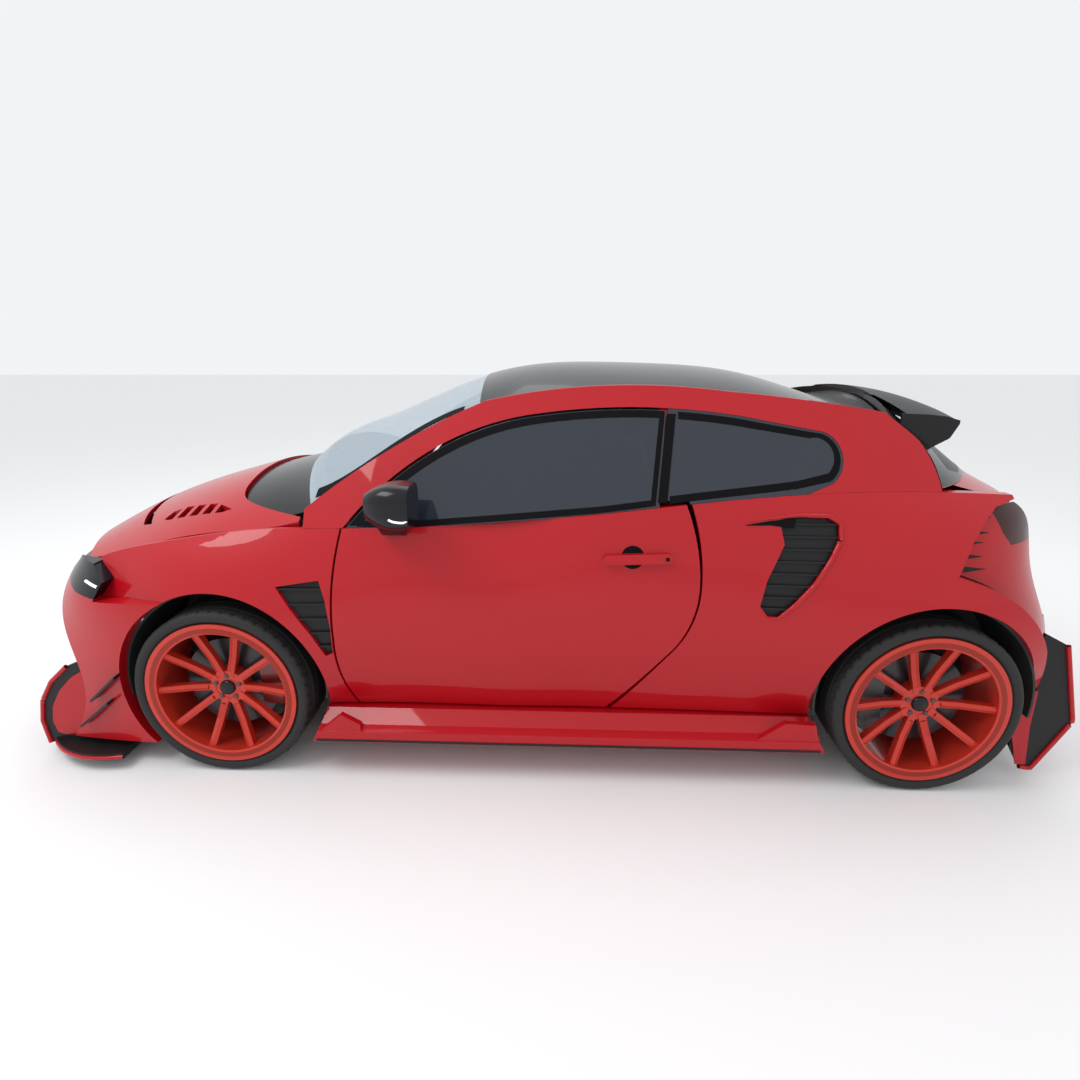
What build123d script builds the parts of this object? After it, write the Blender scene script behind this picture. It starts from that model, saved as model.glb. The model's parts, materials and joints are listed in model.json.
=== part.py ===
from build123d import *
import os

# Three-door hatchback with wide arches: separate panels, glass, running gear and cabin pieces.
# Millimetres. +Z is up, the nose points along -X and the car's left side is at -Y.
# The origin is on the ground, under the middle of the car's length and width.

# The whole car
WHEELBASE = 2560.0
FRONT_OVERHANG = 885.0
REAR_OVERHANG = 605.0
HALF_WIDTH = 900.0
LENGTH = FRONT_OVERHANG + WHEELBASE + REAR_OVERHANG
FRONT_AXLE = -LENGTH / 2 + FRONT_OVERHANG
REAR_AXLE = FRONT_AXLE + WHEELBASE

# Wheels, tyres and brakes
TYRE_RADIUS = 330.0
TYRE_WIDTH = 245.0
LIP_RADIUS = 284.0
BARREL_RADIUS = 252.0
RIM_WALL = 9.0
HUB_RADIUS = 66.0
HUB_DISH = 62.0
SPOKES = 10
SPOKE_WIDTH = 26.0
DISC_RADIUS = 180.0
DISC_THICK = 30.0
DISC_DEPTH = 110.0
SPINDLE_RADIUS = 30.0
FRONT_FACE_IN = 28.0
REAR_FACE_IN = 13.0
KINGPIN_DEPTH = 172.0
KINGPIN_RADIUS = 12.0
ARCH_RADIUS = 386.0
ARCH_RISE = 12.0
LINER_WALL = 8.0

# Walls, gaps and glass
DOOR_WALL = 90.0
WING_WALL = 16.0
QUARTER_WALL = 40.0
PILLAR_WALL = 45.0
ROOF_WALL = 34.0
BONNET_WALL = 22.0
BUMPER_WALL = 60.0
GATE_WALL = 46.0
GLASS = 6.0
GAP = 8.0
SEAM = 0.5
REST = 0.7
FIT = 0.08
LEAN = 0.545
SHUT_SLANT = 0.2

# Floor, sill and cabin heights
FLOOR_LOW = 150.0
FLOOR_WALL = 20.0
BOOT_FLOOR = 330.0
SILL_LOW = 138.0
SILL_TOP = 248.0
SILL_INNER = 690.0
TUNNEL_HALF = 110.0
SEAT_WIDTH = 460.0
SEAT_OFFSET = 345.0

# Body-side stations: the axle each is measured from, distance behind it, then how far in from
# HALF_WIDTH and how high the sill, the widest line and the belt are.
#   axle, dx, in_sill, z_sill, in_waist, z_waist, in_belt, z_belt
SIDE = [
    (FRONT_AXLE, -500, 180, 256, 115, 560, 212, 800),
    (FRONT_AXLE, -220, 110, 256, 45, 610, 186, 875),
    (FRONT_AXLE, 0, 100, 256, 20, 650, 178, 912),
    (FRONT_AXLE, 230, 108, 256, 32, 650, 162, 938),
    (FRONT_AXLE, 440, 122, 256, 58, 735, 130, 950),
    (FRONT_AXLE, 780, 130, 256, 67, 790, 113, 964),
    (FRONT_AXLE, 1280, 128, 256, 67, 800, 110, 1004),
    (REAR_AXLE, -830, 120, 256, 60, 780, 117, 1054),
    (REAR_AXLE, -480, 110, 256, 38, 720, 137, 1083),
    (REAR_AXLE, -180, 100, 256, 10, 690, 165, 1090),
    (REAR_AXLE, 0, 100, 256, 2, 680, 184, 1086),
    (REAR_AXLE, 220, 118, 256, 18, 660, 208, 1075),
    (REAR_AXLE, 470, 200, 256, 92, 640, 256, 1050),
]

# Roof and windscreen stations: height of the edge at the rail and of the crown.
#   axle, dx, z_edge, z_crown
ROOF = [
    (FRONT_AXLE, 190, 911, 1108),
    (FRONT_AXLE, 604, 1183, 1322),
    (FRONT_AXLE, 925, 1348, 1446),
    (FRONT_AXLE, 1106, 1396, 1484),
    (FRONT_AXLE, 1393, 1421, 1498),
    (REAR_AXLE, -886, 1415, 1490),
    (REAR_AXLE, -542, 1387, 1452),
    (REAR_AXLE, -70, 1318, 1380),
]

# Bonnet's rear edge and the outline of its louvred field.
#   dx from the front axle, distance from the middle
BONNET_REAR = [(303, 690), (97, 572), (-1, 482), (-45, 330), (-60, 150)]
BONNET_VENT = [
    (-326, 517), (-313, 463), (-257, 455), (-107, 496), (-17, 566), (-59, 576), (-203, 552), (-301, 535),
]

# Bonnet stations: half width, height of the edge and of the crown.
#   dx from the front axle, half_width, z_edge, z_crown
BONNET = [
    (-760, 480, 748, 790),
    (-620, 620, 776, 872),
    (-500, HALF_WIDTH - 212 - WING_WALL - GAP, 800, 924),
    (-220, HALF_WIDTH - 186 - WING_WALL - GAP, 875, 1012),
    (0, HALF_WIDTH - 178 - WING_WALL - GAP, 912, 1068),
    (230, HALF_WIDTH - 166 - WING_WALL - GAP, 940, 1120),
    (350, HALF_WIDTH - 170 - WING_WALL - GAP, 975, 1168),
]

# Front bumper levels, each a crescent seen from above.
#   z, x_tip and x_corner ahead of the front axle, y_corner and y_side in from HALF_WIDTH
NOSE = [
    (96, 800, 655, 96, 62),
    (180, 806, 604, 94, 52),
    (300, 826, 570, 94, 40),
    (440, 852, 592, 108, 30),
    (580, 836, 676, 196, 28),
    (700, 776, 690, 290, 34),
    (796, 716, 636, 310, 70),
]
NOSE_END = 110.0

# Rear bumper and lamp levels.
#   z, x_tip and x_corner behind the rear axle, y_corner and y_side in from HALF_WIDTH
TAIL = [
    (210, REAR_OVERHANG - 40, 510, 300, 70),
    (420, REAR_OVERHANG, 548, 290, 50),
    (560, REAR_OVERHANG - 15, 535, 290, 55),
    (700, REAR_OVERHANG - 70, 480, 300, 80),
    (860, REAR_OVERHANG - 110, 430, 310, 110),
    (1036, REAR_OVERHANG - 150, 385, 330, 195),
]
TAIL_END = 20.0

# Tailgate levels: distance behind the rear axle at the middle and at the side edge, and half width.
#   z, x_mid, x_side, half_width
GATE_UPPER = [
    (1382, -72, -190, 568),
    (1300, 52, -114, 606),
    (1224, 164, -34, 637),
    (1160, 256, -2, 669),
    (1096, 345, 14, 700),
]
GATE_LOWER = [
    (1106, 322, 40, 630),
    (1040, 420, 290, 632),
    (960, 455, 330, 632),
    (800, 480, 362, 632),
    (600, 505, 388, 630),
]

FAR = 2000.0


def front(dx):
    return FRONT_AXLE + dx


def rear(dx):
    return REAR_AXLE + dx


def across(x):
    """A plane across the car at x, whose own axes are the car's Y and Z."""
    return Plane(origin=(x, 0, 0), x_dir=(0, 1, 0), z_dir=(1, 0, 0))


def along(y):
    """A plane along the car at y, whose own axes are the car's X and Z, facing inwards from the left."""
    return Plane(origin=(0, y, 0), x_dir=(1, 0, 0), z_dir=(0, -1, 0))


def belt_at(x):
    """Half width and height of the belt at x, straight between stations."""
    rows = [(a + dx, HALF_WIDTH - in_belt, z_belt) for a, dx, *_, in_belt, z_belt in SIDE]
    for (x0, y0, z0), (x1, y1, z1) in zip(rows, rows[1:]):
        if x <= x1:
            break
    share = (x - x0) / (x1 - x0)
    return y0 + share * (y1 - y0), z0 + share * (z1 - z0)


def side_strip(skin, wall):
    """The left body side below the belt, from skin to wall behind its outer face."""
    with BuildPart() as strip:
        for axle, dx, in_sill, z_sill, in_waist, z_waist, in_belt, z_belt in SIDE:
            sill = in_sill - HALF_WIDTH
            waist = in_waist - HALF_WIDTH
            belt = in_belt - HALF_WIDTH
            with BuildSketch(across(axle + dx)):
                with BuildLine():
                    ThreePointArc(
                        (sill + skin, z_sill), (waist + skin, z_waist), (belt + skin, z_belt)
                    )
                    Line((belt + skin, z_belt), (belt + wall, z_belt))
                    ThreePointArc(
                        (belt + wall, z_belt), (waist + wall, z_waist), (sill + wall, z_sill)
                    )
                    Line((sill + wall, z_sill), (sill + skin, z_sill))
                make_face()
        loft()
    return strip.part


def cabin_strip(skin, wall):
    """The leaning cabin wall above the belt, from skin to wall behind its outer face."""
    with BuildPart() as strip:
        for axle, dx, *_, in_belt, z_belt in SIDE[2:12]:
            foot = in_belt - HALF_WIDTH
            rise = 1450 - z_belt
            with BuildSketch(across(axle + dx)):
                with BuildLine():
                    Polyline(
                        (foot + skin, z_belt + REST),
                        (foot + skin + LEAN * rise, z_belt + rise),
                        (foot + wall + LEAN * rise, z_belt + rise),
                        (foot + wall, z_belt + REST),
                        close=True,
                    )
                make_face()
        loft()
    return strip.part


def bow_strip(rows, wall, lift=0, spread=0):
    """A skin that bows across the car: rows of x, half width, edge height and crown height."""
    with BuildPart() as strip:
        for x, half, z_edge, z_crown in rows:
            edge = half + spread
            low = z_edge - wall
            with BuildSketch(across(x)):
                with BuildLine():
                    ThreePointArc((-edge, z_edge + lift), (0, z_crown + lift), (edge, z_edge + lift))
                    Line((edge, z_edge + lift), (edge, low))
                    ThreePointArc((edge, low), (0, z_crown - wall), (-edge, low))
                    Line((-edge, low), (-edge, z_edge + lift))
                make_face()
        loft()
    return strip.part


def roof_rows():
    rows = []
    for axle, dx, z_edge, z_crown in ROOF:
        y_belt, z_belt = belt_at(axle + dx)
        half = y_belt - LEAN * (z_edge - z_belt) - PILLAR_WALL - REST
        rows.append((axle + dx, half, z_edge, z_crown))
    return rows


def bonnet_rows():
    return [(front(dx), half, z_edge, z_crown) for dx, half, z_edge, z_crown in BONNET]


def crescents(levels, axle, facing, end_dx, wall, grow=0):
    """A bumper: crescents seen from above, one at each level. facing is -1 at the nose, 1 at the tail."""
    with BuildPart() as shell:
        for z, tip, corner, in_corner, in_side in levels:
            y_corner = HALF_WIDTH - in_corner + grow * 0.7
            y_side = HALF_WIDTH - in_side + grow
            x_end = axle + facing * end_dx
            x_tip = axle + facing * (tip + grow)
            x_corner = axle + facing * (corner + grow * 0.7)
            x_bend = axle + facing * (0.35 * end_dx + 0.65 * corner + grow * 0.6)
            y_bend = 0.7 * (HALF_WIDTH - in_side) + 0.3 * (HALF_WIDTH - in_corner) + grow * 0.8
            inset = facing * wall
            with BuildSketch(Plane.XY.offset(z)):
                with BuildLine():
                    ThreePointArc((x_end, -y_side), (x_bend, -y_bend), (x_corner, -y_corner))
                    ThreePointArc((x_corner, -y_corner), (x_tip, 0), (x_corner, y_corner))
                    ThreePointArc((x_corner, y_corner), (x_bend, y_bend), (x_end, y_side))
                    Line((x_end, y_side), (x_end, y_side - wall))
                    ThreePointArc(
                        (x_end, y_side - wall),
                        (x_bend - inset * 0.6, y_bend - wall * 0.8),
                        (x_corner - inset, y_corner - wall * 0.5),
                    )
                    ThreePointArc(
                        (x_corner - inset, y_corner - wall * 0.5),
                        (x_tip - inset, 0),
                        (x_corner - inset, wall * 0.5 - y_corner),
                    )
                    ThreePointArc(
                        (x_corner - inset, wall * 0.5 - y_corner),
                        (x_bend - inset * 0.6, wall * 0.8 - y_bend),
                        (x_end, wall - y_side),
                    )
                    Line((x_end, wall - y_side), (x_end, -y_side))
                make_face()
        loft()
    return shell.part


def gate_face(rows, skin, wall, spread=0, ruled=False):
    """A bowed face through rows of the tailgate's levels, from skin to wall behind its outer face."""
    with BuildPart() as shell:
        for z, x_mid, x_side, half_width in rows:
            half = half_width + spread
            with BuildSketch(Plane.XY.offset(z)):
                with BuildLine():
                    ThreePointArc(
                        (rear(x_side) - skin, -half), (rear(x_mid) - skin, 0), (rear(x_side) - skin, half)
                    )
                    Line((rear(x_side) - skin, half), (rear(x_side) - wall, half - wall))
                    ThreePointArc(
                        (rear(x_side) - wall, half - wall),
                        (rear(x_mid) - wall, 0),
                        (rear(x_side) - wall, wall - half),
                    )
                    Line((rear(x_side) - wall, wall - half), (rear(x_side) - skin, -half))
                make_face()
        loft(ruled=ruled)
    return shell.part


def roof_tail(shift):
    """The region ahead of the roof's bowed rear edge, moved back by shift."""
    with BuildPart() as block:
        with BuildSketch(Plane.XY.offset(1250)):
            with BuildLine():
                Line((rear(-170) + shift, 900), (rear(-170) + shift, 600))
                ThreePointArc((rear(-170) + shift, 600), (rear(-84) + shift, 0), (rear(-170) + shift, -600))
                Polyline(
                    (rear(-170) + shift, -600), (rear(-170) + shift, -900), (front(0), -900), (front(0), 900),
                    (rear(-170) + shift, 900),
                )
            make_face()
        extrude(amount=FAR)
    return block.part


def door_front(shift):
    """The door's front shut line, from the belt down, moved along the car by shift."""
    with BuildLine() as line:
        Polyline((front(482) + shift, 1060), (front(486) + shift, 960))
        ThreePointArc(
            (front(486) + shift, 960), (front(456) + shift, 779), (front(446) + shift, 560)
        )
        ThreePointArc(
            (front(446) + shift, 560), (front(458) + shift, 380), (front(500) + shift, 240)
        )
    return line.line


def door_rear(shift):
    """The door's rear shut line, from the sill up, moved along the car by shift."""
    with BuildLine() as line:
        Polyline((rear(-1130) + shift, 240), (rear(-1091) + shift, 284), (rear(-923) + shift, 502))
        ThreePointArc(
            (rear(-923) + shift, 502), (rear(-846) + shift, 630), (rear(-820) + shift, 781)
        )
        ThreePointArc(
            (rear(-820) + shift, 781), (rear(-832) + shift, 930), (rear(-880) + shift, 1100)
        )
    return line.line


def wing_nose():
    """The wing's front edge, round the lamp and back along the bumper seam to the arch."""
    with BuildLine() as line:
        Polyline(
            (front(0), 300),
            (front(-104), 689),
            (front(-327), 685),
            (front(-459), 672),
            (front(-411), 744),
            (front(-474), 790),
            (front(-520), 860),
            (front(-300), 1060),
        )
    return line.line


def quarter_tail(shift):
    """The flared rear quarter's trailing edge, from the shelf down to the bumper's lower edge."""
    with BuildLine() as line:
        Polyline(
            (rear(250) + shift, 1150),
            (rear(263) + shift, 1060),
            (rear(188) + shift, 1040),
            (rear(143) + shift, 1006),
            (rear(79) + shift, 932),
            (rear(25) + shift, 830),
            (rear(112) + shift, 799),
        )
        ThreePointArc(
            (rear(112) + shift, 799), (rear(290) + shift, 690), (rear(393) + shift, 547)
        )
        ThreePointArc((rear(393) + shift, 547), (rear(420) + shift, 430), (rear(425) + shift, 200))
    return line.line


def quarter_outline(shift):
    with BuildLine() as line:
        add(door_rear(GAP))
        Line((rear(-880) + GAP, 1100), (rear(-880) + GAP, 1150))
        Line((rear(-880) + GAP, 1150), (rear(250) + shift, 1150))
        add(quarter_tail(shift))
        Line((rear(425) + shift, 200), (rear(-1130) + GAP, 200))
        Line((rear(-1130) + GAP, 200), (rear(-1130) + GAP, 240))
    return line.line


def wing_outline():
    with BuildLine() as line:
        add(wing_nose())
        Line((front(-300), 1060), (front(482) - GAP, 1060))
        add(door_front(-GAP))
        Line((front(500) - GAP, 240), (front(0), 240))
        Line((front(0), 240), (front(0), 300))
    return line.line


def rail_edge():
    """The upper edge of the pillars and roof rail in the side view, from the bonnet to the tailgate."""
    with BuildLine() as line:
        Line((front(334), 900), (front(334), 1008))
        ThreePointArc((front(334), 1008), (front(604), 1192), (front(980), 1378))
        ThreePointArc((front(980), 1378), (front(1393), 1431), (rear(-720), 1414))
        ThreePointArc((rear(-720), 1414), (rear(-430), 1383), (rear(-166), 1343))
        ThreePointArc((rear(-166), 1343), (rear(-42), 1228), (rear(6), 1092))
        Line((rear(6), 1092), (rear(6), 900))
        Line((rear(6), 900), (front(334), 900))
    return line.line


def window_edge(inset):
    """The side window opening in the side view, drawn in by inset all round above the belt."""
    with BuildLine() as line:
        ThreePointArc(
            (front(446) + inset * 1.6, 900),
            (front(822) + inset * 0.5, 1229 - inset),
            (front(1179), 1338 - inset),
        )
        ThreePointArc(
            (front(1179), 1338 - inset), (rear(-1030), 1361 - inset), (rear(-682), 1334 - inset)
        )
        Line((rear(-682), 1334 - inset), (rear(-419) - inset * 0.7, 1286 - inset * 0.7))
        ThreePointArc(
            (rear(-419) - inset * 0.7, 1286 - inset * 0.7),
            (rear(-334) - inset, 1176),
            (rear(-375) - inset * 0.4, 1116 + inset),
        )
        Line((rear(-375) - inset * 0.4, 1116 + inset), (rear(-500), 1070 + inset))
        Line((rear(-500), 1070 + inset), (rear(-620), 900))
        Line((rear(-620), 900), (front(446) + inset * 1.6, 900))
    return line.line


def arch_cutter(axle, radius, y_inner):
    """A pair of cylinders on the wheel axis that open the arch from y_inner outwards."""
    with BuildPart() as cutter:
        for turn in (0, 1):
            side = y_inner if turn else -y_inner - FAR
            with BuildSketch(along(side)):
                with Locations((axle, TYRE_RADIUS + ARCH_RISE)):
                    Circle(radius)
            extrude(amount=-FAR)
    return cutter.part


front_arch = arch_cutter(FRONT_AXLE, ARCH_RADIUS, 440)
rear_arch = arch_cutter(REAR_AXLE, ARCH_RADIUS, 440)
os.makedirs("parts", exist_ok=True)

# Body side below the belt: wing, door and quarter are cut from one swept surface.
wing_skin = side_strip(0, WING_WALL)
door_skin = side_strip(0, DOOR_WALL)
quarter_skin = side_strip(0, QUARTER_WALL)

VENT_FRONT = [
    (front(247), 752), (front(402), 775), (front(422), 708), (front(436), 600),
    (front(434), 500), (front(407), 488), (front(363), 577), (front(300), 672),
]
VENT_REAR = [
    (rear(-560), 1004), (rear(-495), 1019), (rear(-396), 1017), (rear(-357), 995),
    (rear(-357), 945), (rear(-388), 879), (rear(-438), 793), (rear(-497), 719),
    (rear(-549), 669), (rear(-590), 675), (rear(-613), 712), (rear(-594), 805), (rear(-543), 924),
]

with BuildPart() as front_wings:
    add(wing_skin)
    with BuildSketch(along(-FAR)):
        with BuildLine():
            add(wing_outline())
        make_face()
    extrude(amount=-FAR, mode=Mode.INTERSECT)
    add(front_arch, mode=Mode.SUBTRACT)
    with BuildSketch(along(-FAR)):
        with BuildLine():
            Polyline(*VENT_FRONT, close=True)
        make_face()
    extrude(amount=-FAR, mode=Mode.SUBTRACT)
    mirror(about=Plane.XZ)
front_wings.part.label = "front_wings"
export_step(front_wings.part, "parts/front_wings.step")

with BuildPart() as door_left:
    add(door_skin)
    with BuildSketch(along(-FAR)):
        with BuildLine():
            add(door_front(0))
            Line((front(500), 240), (rear(-1130), 240))
            add(door_rear(0))
            Line((rear(-880), 1100), (front(482), 1060))
        make_face()
    extrude(amount=-FAR, mode=Mode.INTERSECT)
    with BuildSketch(along(60 - HALF_WIDTH)):
        with BuildLine():
            add(door_rear(0))
            Polyline((rear(-880), 1100), (front(0), 1100), (front(0), 240), (rear(-1130), 240))
        make_face()
    extrude(amount=300, dir=(-SHUT_SLANT, 1, 0), both=True, mode=Mode.INTERSECT)
door_left.part.label = "door_left"
export_step(door_left.part, "parts/door_left.step")

with BuildPart() as door_right:
    mirror(door_left.part, about=Plane.XZ)
door_right.part.label = "door_right"
export_step(door_right.part, "parts/door_right.step")

with BuildPart() as quarter_panels:
    add(quarter_skin)
    with BuildSketch(along(-FAR)):
        with BuildLine():
            add(quarter_outline(0))
        make_face()
    extrude(amount=-FAR, mode=Mode.INTERSECT)
    add(rear_arch, mode=Mode.SUBTRACT)
    with BuildSketch(along(-FAR)):
        with BuildLine():
            Polyline(*VENT_REAR, close=True)
        make_face()
    extrude(amount=-FAR, mode=Mode.SUBTRACT)
    mirror(about=Plane.XZ)
quarter_panels.part.label = "quarter_panels"
export_step(quarter_panels.part, "parts/quarter_panels.step")

# Louvred vents behind the front wheel and ahead of the rear wheel.
VENT_BACK = 26.0
SLAT_SKIN = 5.0
SLAT_THICK = 7.0


def vent_layer(outline, skin, wall):
    """The part of the body side inside a vent's outline, from skin to wall behind the outer face."""
    with BuildPart() as layer:
        add(side_strip(skin, wall))
        with BuildSketch(along(-FAR)):
            with BuildLine():
                Polyline(*outline, close=True)
            make_face()
            offset(amount=-SEAM, mode=Mode.REPLACE)
        extrude(amount=-FAR, mode=Mode.INTERSECT)
    return layer.part


def vent_slats(outline, skin, wall, steps, z_low, z_high):
    """Level slats across a vent."""
    pitch = (z_high - z_low) / steps
    with BuildPart() as slats:
        add(vent_layer(outline, skin, wall))
        with BuildSketch(along(-FAR)):
            with Locations(*[(0, z_low + pitch * (n + 0.5)) for n in range(steps)]):
                Rectangle(2 * FAR, SLAT_THICK)
        extrude(amount=-FAR, mode=Mode.INTERSECT)
    return slats.part


with BuildPart() as side_vents:
    add(vent_layer(VENT_FRONT, WING_WALL, WING_WALL + VENT_BACK))
    add(vent_slats(VENT_FRONT, SLAT_SKIN, WING_WALL + SEAM, 5, 500, 770))
    add(vent_layer(VENT_REAR, QUARTER_WALL - VENT_BACK, QUARTER_WALL))
    add(vent_slats(VENT_REAR, SLAT_SKIN, QUARTER_WALL - VENT_BACK + SEAM, 8, 680, 1010))
    mirror(about=Plane.XZ)
side_vents.part.label = "side_vents"
export_step(side_vents.part, "parts/side_vents.step")

# Cabin sides above the belt, with the window opening; the centre pillar stands behind the glass.


def centre_pillar():
    with BuildPart() as post:
        add(cabin_strip(2 * GLASS, PILLAR_WALL))
        with BuildSketch(along(-FAR)):
            with BuildLine():
                Polyline(
                    (rear(-988), 1062), (rear(-950), 1420), (rear(-890), 1420), (rear(-928), 1062),
                    close=True,
                )
            make_face()
        extrude(amount=-FAR, mode=Mode.INTERSECT)
    return post.part


with BuildPart() as pillar_frames:
    add(cabin_strip(0, PILLAR_WALL))
    with BuildSketch(along(-FAR)):
        with BuildLine():
            add(window_edge(0))
        make_face()
    extrude(amount=-FAR, mode=Mode.SUBTRACT)
    add(centre_pillar())
    with BuildSketch(along(-FAR)):
        with BuildLine():
            add(rail_edge())
        make_face()
    extrude(amount=-FAR, mode=Mode.INTERSECT)
    add(gate_face(GATE_UPPER, -GAP, GATE_WALL + GAP, 2 * GAP), mode=Mode.SUBTRACT)
    mirror(about=Plane.XZ)
pillar_frames.part.label = "pillar_frames"
export_step(pillar_frames.part, "parts/pillar_frames.step")

with BuildPart() as door_glass_left:
    add(cabin_strip(2, 2 + GLASS))
    with BuildSketch(along(-FAR)):
        with BuildLine():
            add(window_edge(GAP))
        make_face()
        with BuildLine():
            Polyline(
                (front(0), 800), (rear(-987), 800), (rear(-930), 1420), (front(0), 1420), close=True
            )
        make_face(mode=Mode.INTERSECT)
    extrude(amount=-FAR, mode=Mode.INTERSECT)
door_glass_left.part.label = "door_glass_left"
export_step(door_glass_left.part, "parts/door_glass_left.step")

with BuildPart() as door_glass_right:
    mirror(door_glass_left.part, about=Plane.XZ)
door_glass_right.part.label = "door_glass_right"
export_step(door_glass_right.part, "parts/door_glass_right.step")

with BuildPart() as quarter_glass:
    add(cabin_strip(2, 2 + GLASS))
    with BuildSketch(along(-FAR)):
        with BuildLine():
            add(window_edge(SEAM))
        make_face()
        with BuildLine():
            Polyline(
                (rear(0), 1040), (rear(-862), 1040), (rear(-862), 1062), (rear(-955), 1062),
                (rear(-922), 1420),
                (rear(0), 1420), close=True
            )
        make_face(mode=Mode.INTERSECT)
    extrude(amount=-FAR, mode=Mode.INTERSECT)
    mirror(about=Plane.XZ)
quarter_glass.part.label = "quarter_glass"
export_step(quarter_glass.part, "parts/quarter_glass.step")

# Windscreen and roof, parted by a bowed header line.
HEADER = [(front(990), -900), (front(935), 0), (front(990), 900)]
with BuildPart() as windscreen:
    add(bow_strip(roof_rows(), GLASS, 0, -SEAM))
    with BuildSketch():
        with BuildLine():
            ThreePointArc((front(350), -700), (front(206), 0), (front(350), 700))
            Polyline((front(350), 700), (front(350), 900), HEADER[2])
            ThreePointArc(HEADER[2], HEADER[1], HEADER[0])
            Polyline(HEADER[0], (front(350), -900), (front(350), -700))
        make_face()
    extrude(amount=FAR, mode=Mode.INTERSECT)
windscreen.part.label = "windscreen"
export_step(windscreen.part, "parts/windscreen.step")

with BuildPart() as roof_panel:
    add(bow_strip(roof_rows(), ROOF_WALL))
    with BuildSketch():
        with BuildLine():
            ThreePointArc(*[(x + SEAM, y) for x, y in HEADER])
            Polyline(
                (HEADER[2][0] + SEAM, HEADER[2][1]), (rear(0), 900), (rear(0), -900),
                (HEADER[0][0] + SEAM, HEADER[0][1])
            )
        make_face()
    extrude(amount=FAR, mode=Mode.INTERSECT)
    add(roof_tail(0), mode=Mode.INTERSECT)
roof_panel.part.label = "roof_panel"
export_step(roof_panel.part, "parts/roof_panel.step")

# Bonnet, and the cowl under the windscreen's foot.
wing_reach = side_strip(-60, WING_WALL + GAP)
with BuildPart() as wing_reaches:
    add(wing_reach)
    mirror(about=Plane.XZ)
wing_side_room = wing_reaches.part
BONNET_SLATS = 4


def bonnet_rear(shift):
    """The curved edge between the bonnet and the cowl, moved along the car by shift."""
    half = [(front(dx) + shift, y) for dx, y in BONNET_REAR]
    with BuildLine() as line:
        Spline(*half, *[(x, -y) for x, y in reversed(half)])
    return line.line


with BuildPart() as bonnet:
    add(bow_strip(bonnet_rows(), BONNET_WALL))
    with BuildSketch():
        with BuildLine():
            ThreePointArc((front(-520), -720), (front(-735), 0), (front(-520), 720))
            Polyline(
                (front(-520), 720), (front(BONNET_REAR[0][0]), 720),
                (front(BONNET_REAR[0][0]), BONNET_REAR[0][1]),
            )
            add(bonnet_rear(0))
            Polyline(
                (front(BONNET_REAR[0][0]), -BONNET_REAR[0][1]), (front(BONNET_REAR[0][0]), -720),
                (front(-520), -720),
            )
        make_face()
    extrude(amount=FAR, mode=Mode.INTERSECT)
    add(wing_side_room, mode=Mode.SUBTRACT)
    with BuildSketch():
        with BuildLine():
            ThreePointArc((front(-423), -506), (front(-560), 0), (front(-423), 506))
            Line((front(-423), 506), (front(-377), 524))
            ThreePointArc((front(-377), 524), (front(-520), 0), (front(-377), -524))
            Line((front(-377), -524), (front(-423), -506))
        make_face()
        for side in (1, -1):
            with BuildLine():
                Polyline(*[(front(dx), side * y) for dx, y in BONNET_VENT], close=True)
            make_face()
        for slat in range(BONNET_SLATS):
            with Locations((front(-270 + slat * 58), 515), (front(-270 + slat * 58), -515)):
                Rectangle(20, 160, mode=Mode.SUBTRACT)
    extrude(amount=FAR, mode=Mode.SUBTRACT)
bonnet.part.label = "bonnet"
export_step(bonnet.part, "parts/bonnet.step")
bonnet_room = bow_strip(bonnet_rows(), BONNET_WALL + GAP, 200, GAP)

COWL_WALL = 40.0
COWL_SINK = 14.0
COWL_HALF = 640.0
with BuildPart() as cowl_sheet:
    add(bow_strip(bonnet_rows(), COWL_WALL, -COWL_SINK, -GAP))
    with BuildSketch():
        with BuildLine():
            add(bonnet_rear(GAP))
            edge_x, edge_y = front(BONNET_REAR[0][0]) + GAP, BONNET_REAR[0][1]
            Polyline((edge_x, edge_y), (front(360), edge_y), (front(360), COWL_HALF))
            ThreePointArc((front(360), COWL_HALF), (front(216), 0), (front(360), -COWL_HALF))
            Polyline((front(360), -COWL_HALF), (front(360), -edge_y), (edge_x, -edge_y))
        make_face()
    extrude(amount=FAR, mode=Mode.INTERSECT)
    with BuildSketch():
        Rectangle(2 * FAR, 2 * COWL_HALF)
    extrude(amount=FAR, mode=Mode.INTERSECT)
cowl_panel = cowl_sheet.part
with BuildPart() as cowl:
    add(bow_strip(roof_rows(), GLASS + SEAM + COWL_WALL, -GLASS - SEAM))
    with BuildSketch():
        with BuildLine():
            ThreePointArc((front(348), -640), (front(204), 0), (front(348), 640))
            Line((front(348), 640), (front(400), 640))
            ThreePointArc((front(400), 640), (front(256), 0), (front(400), -640))
            Line((front(400), -640), (front(348), -640))
        make_face()
    extrude(amount=FAR, mode=Mode.INTERSECT)
    add(cowl_panel)
cowl.part.label = "cowl"
export_step(cowl.part, "parts/cowl.step")

# Tailgate, its glass and the spoiler on its top edge.
GATE_WINDOW = [
    (-470, 1316), (-560, 1240), (-585, 1140), (-500, 1112), (500, 1112), (585, 1140), (560, 1240),
    (470, 1316),
]
with BuildPart() as tailgate:
    add(gate_face(GATE_UPPER, 0, GATE_WALL))
    add(gate_face(GATE_LOWER[:2], 0, GATE_WALL, 0, True))
    add(gate_face(GATE_LOWER[1:], 0, GATE_WALL))
    with BuildSketch(across(0)):
        with BuildLine():
            Polyline(*GATE_WINDOW, close=True)
        make_face()
    extrude(amount=2 * FAR, mode=Mode.SUBTRACT)
    add(roof_tail(GAP), mode=Mode.SUBTRACT)
tailgate.part.label = "tailgate"
export_step(tailgate.part, "parts/tailgate.step")

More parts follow.
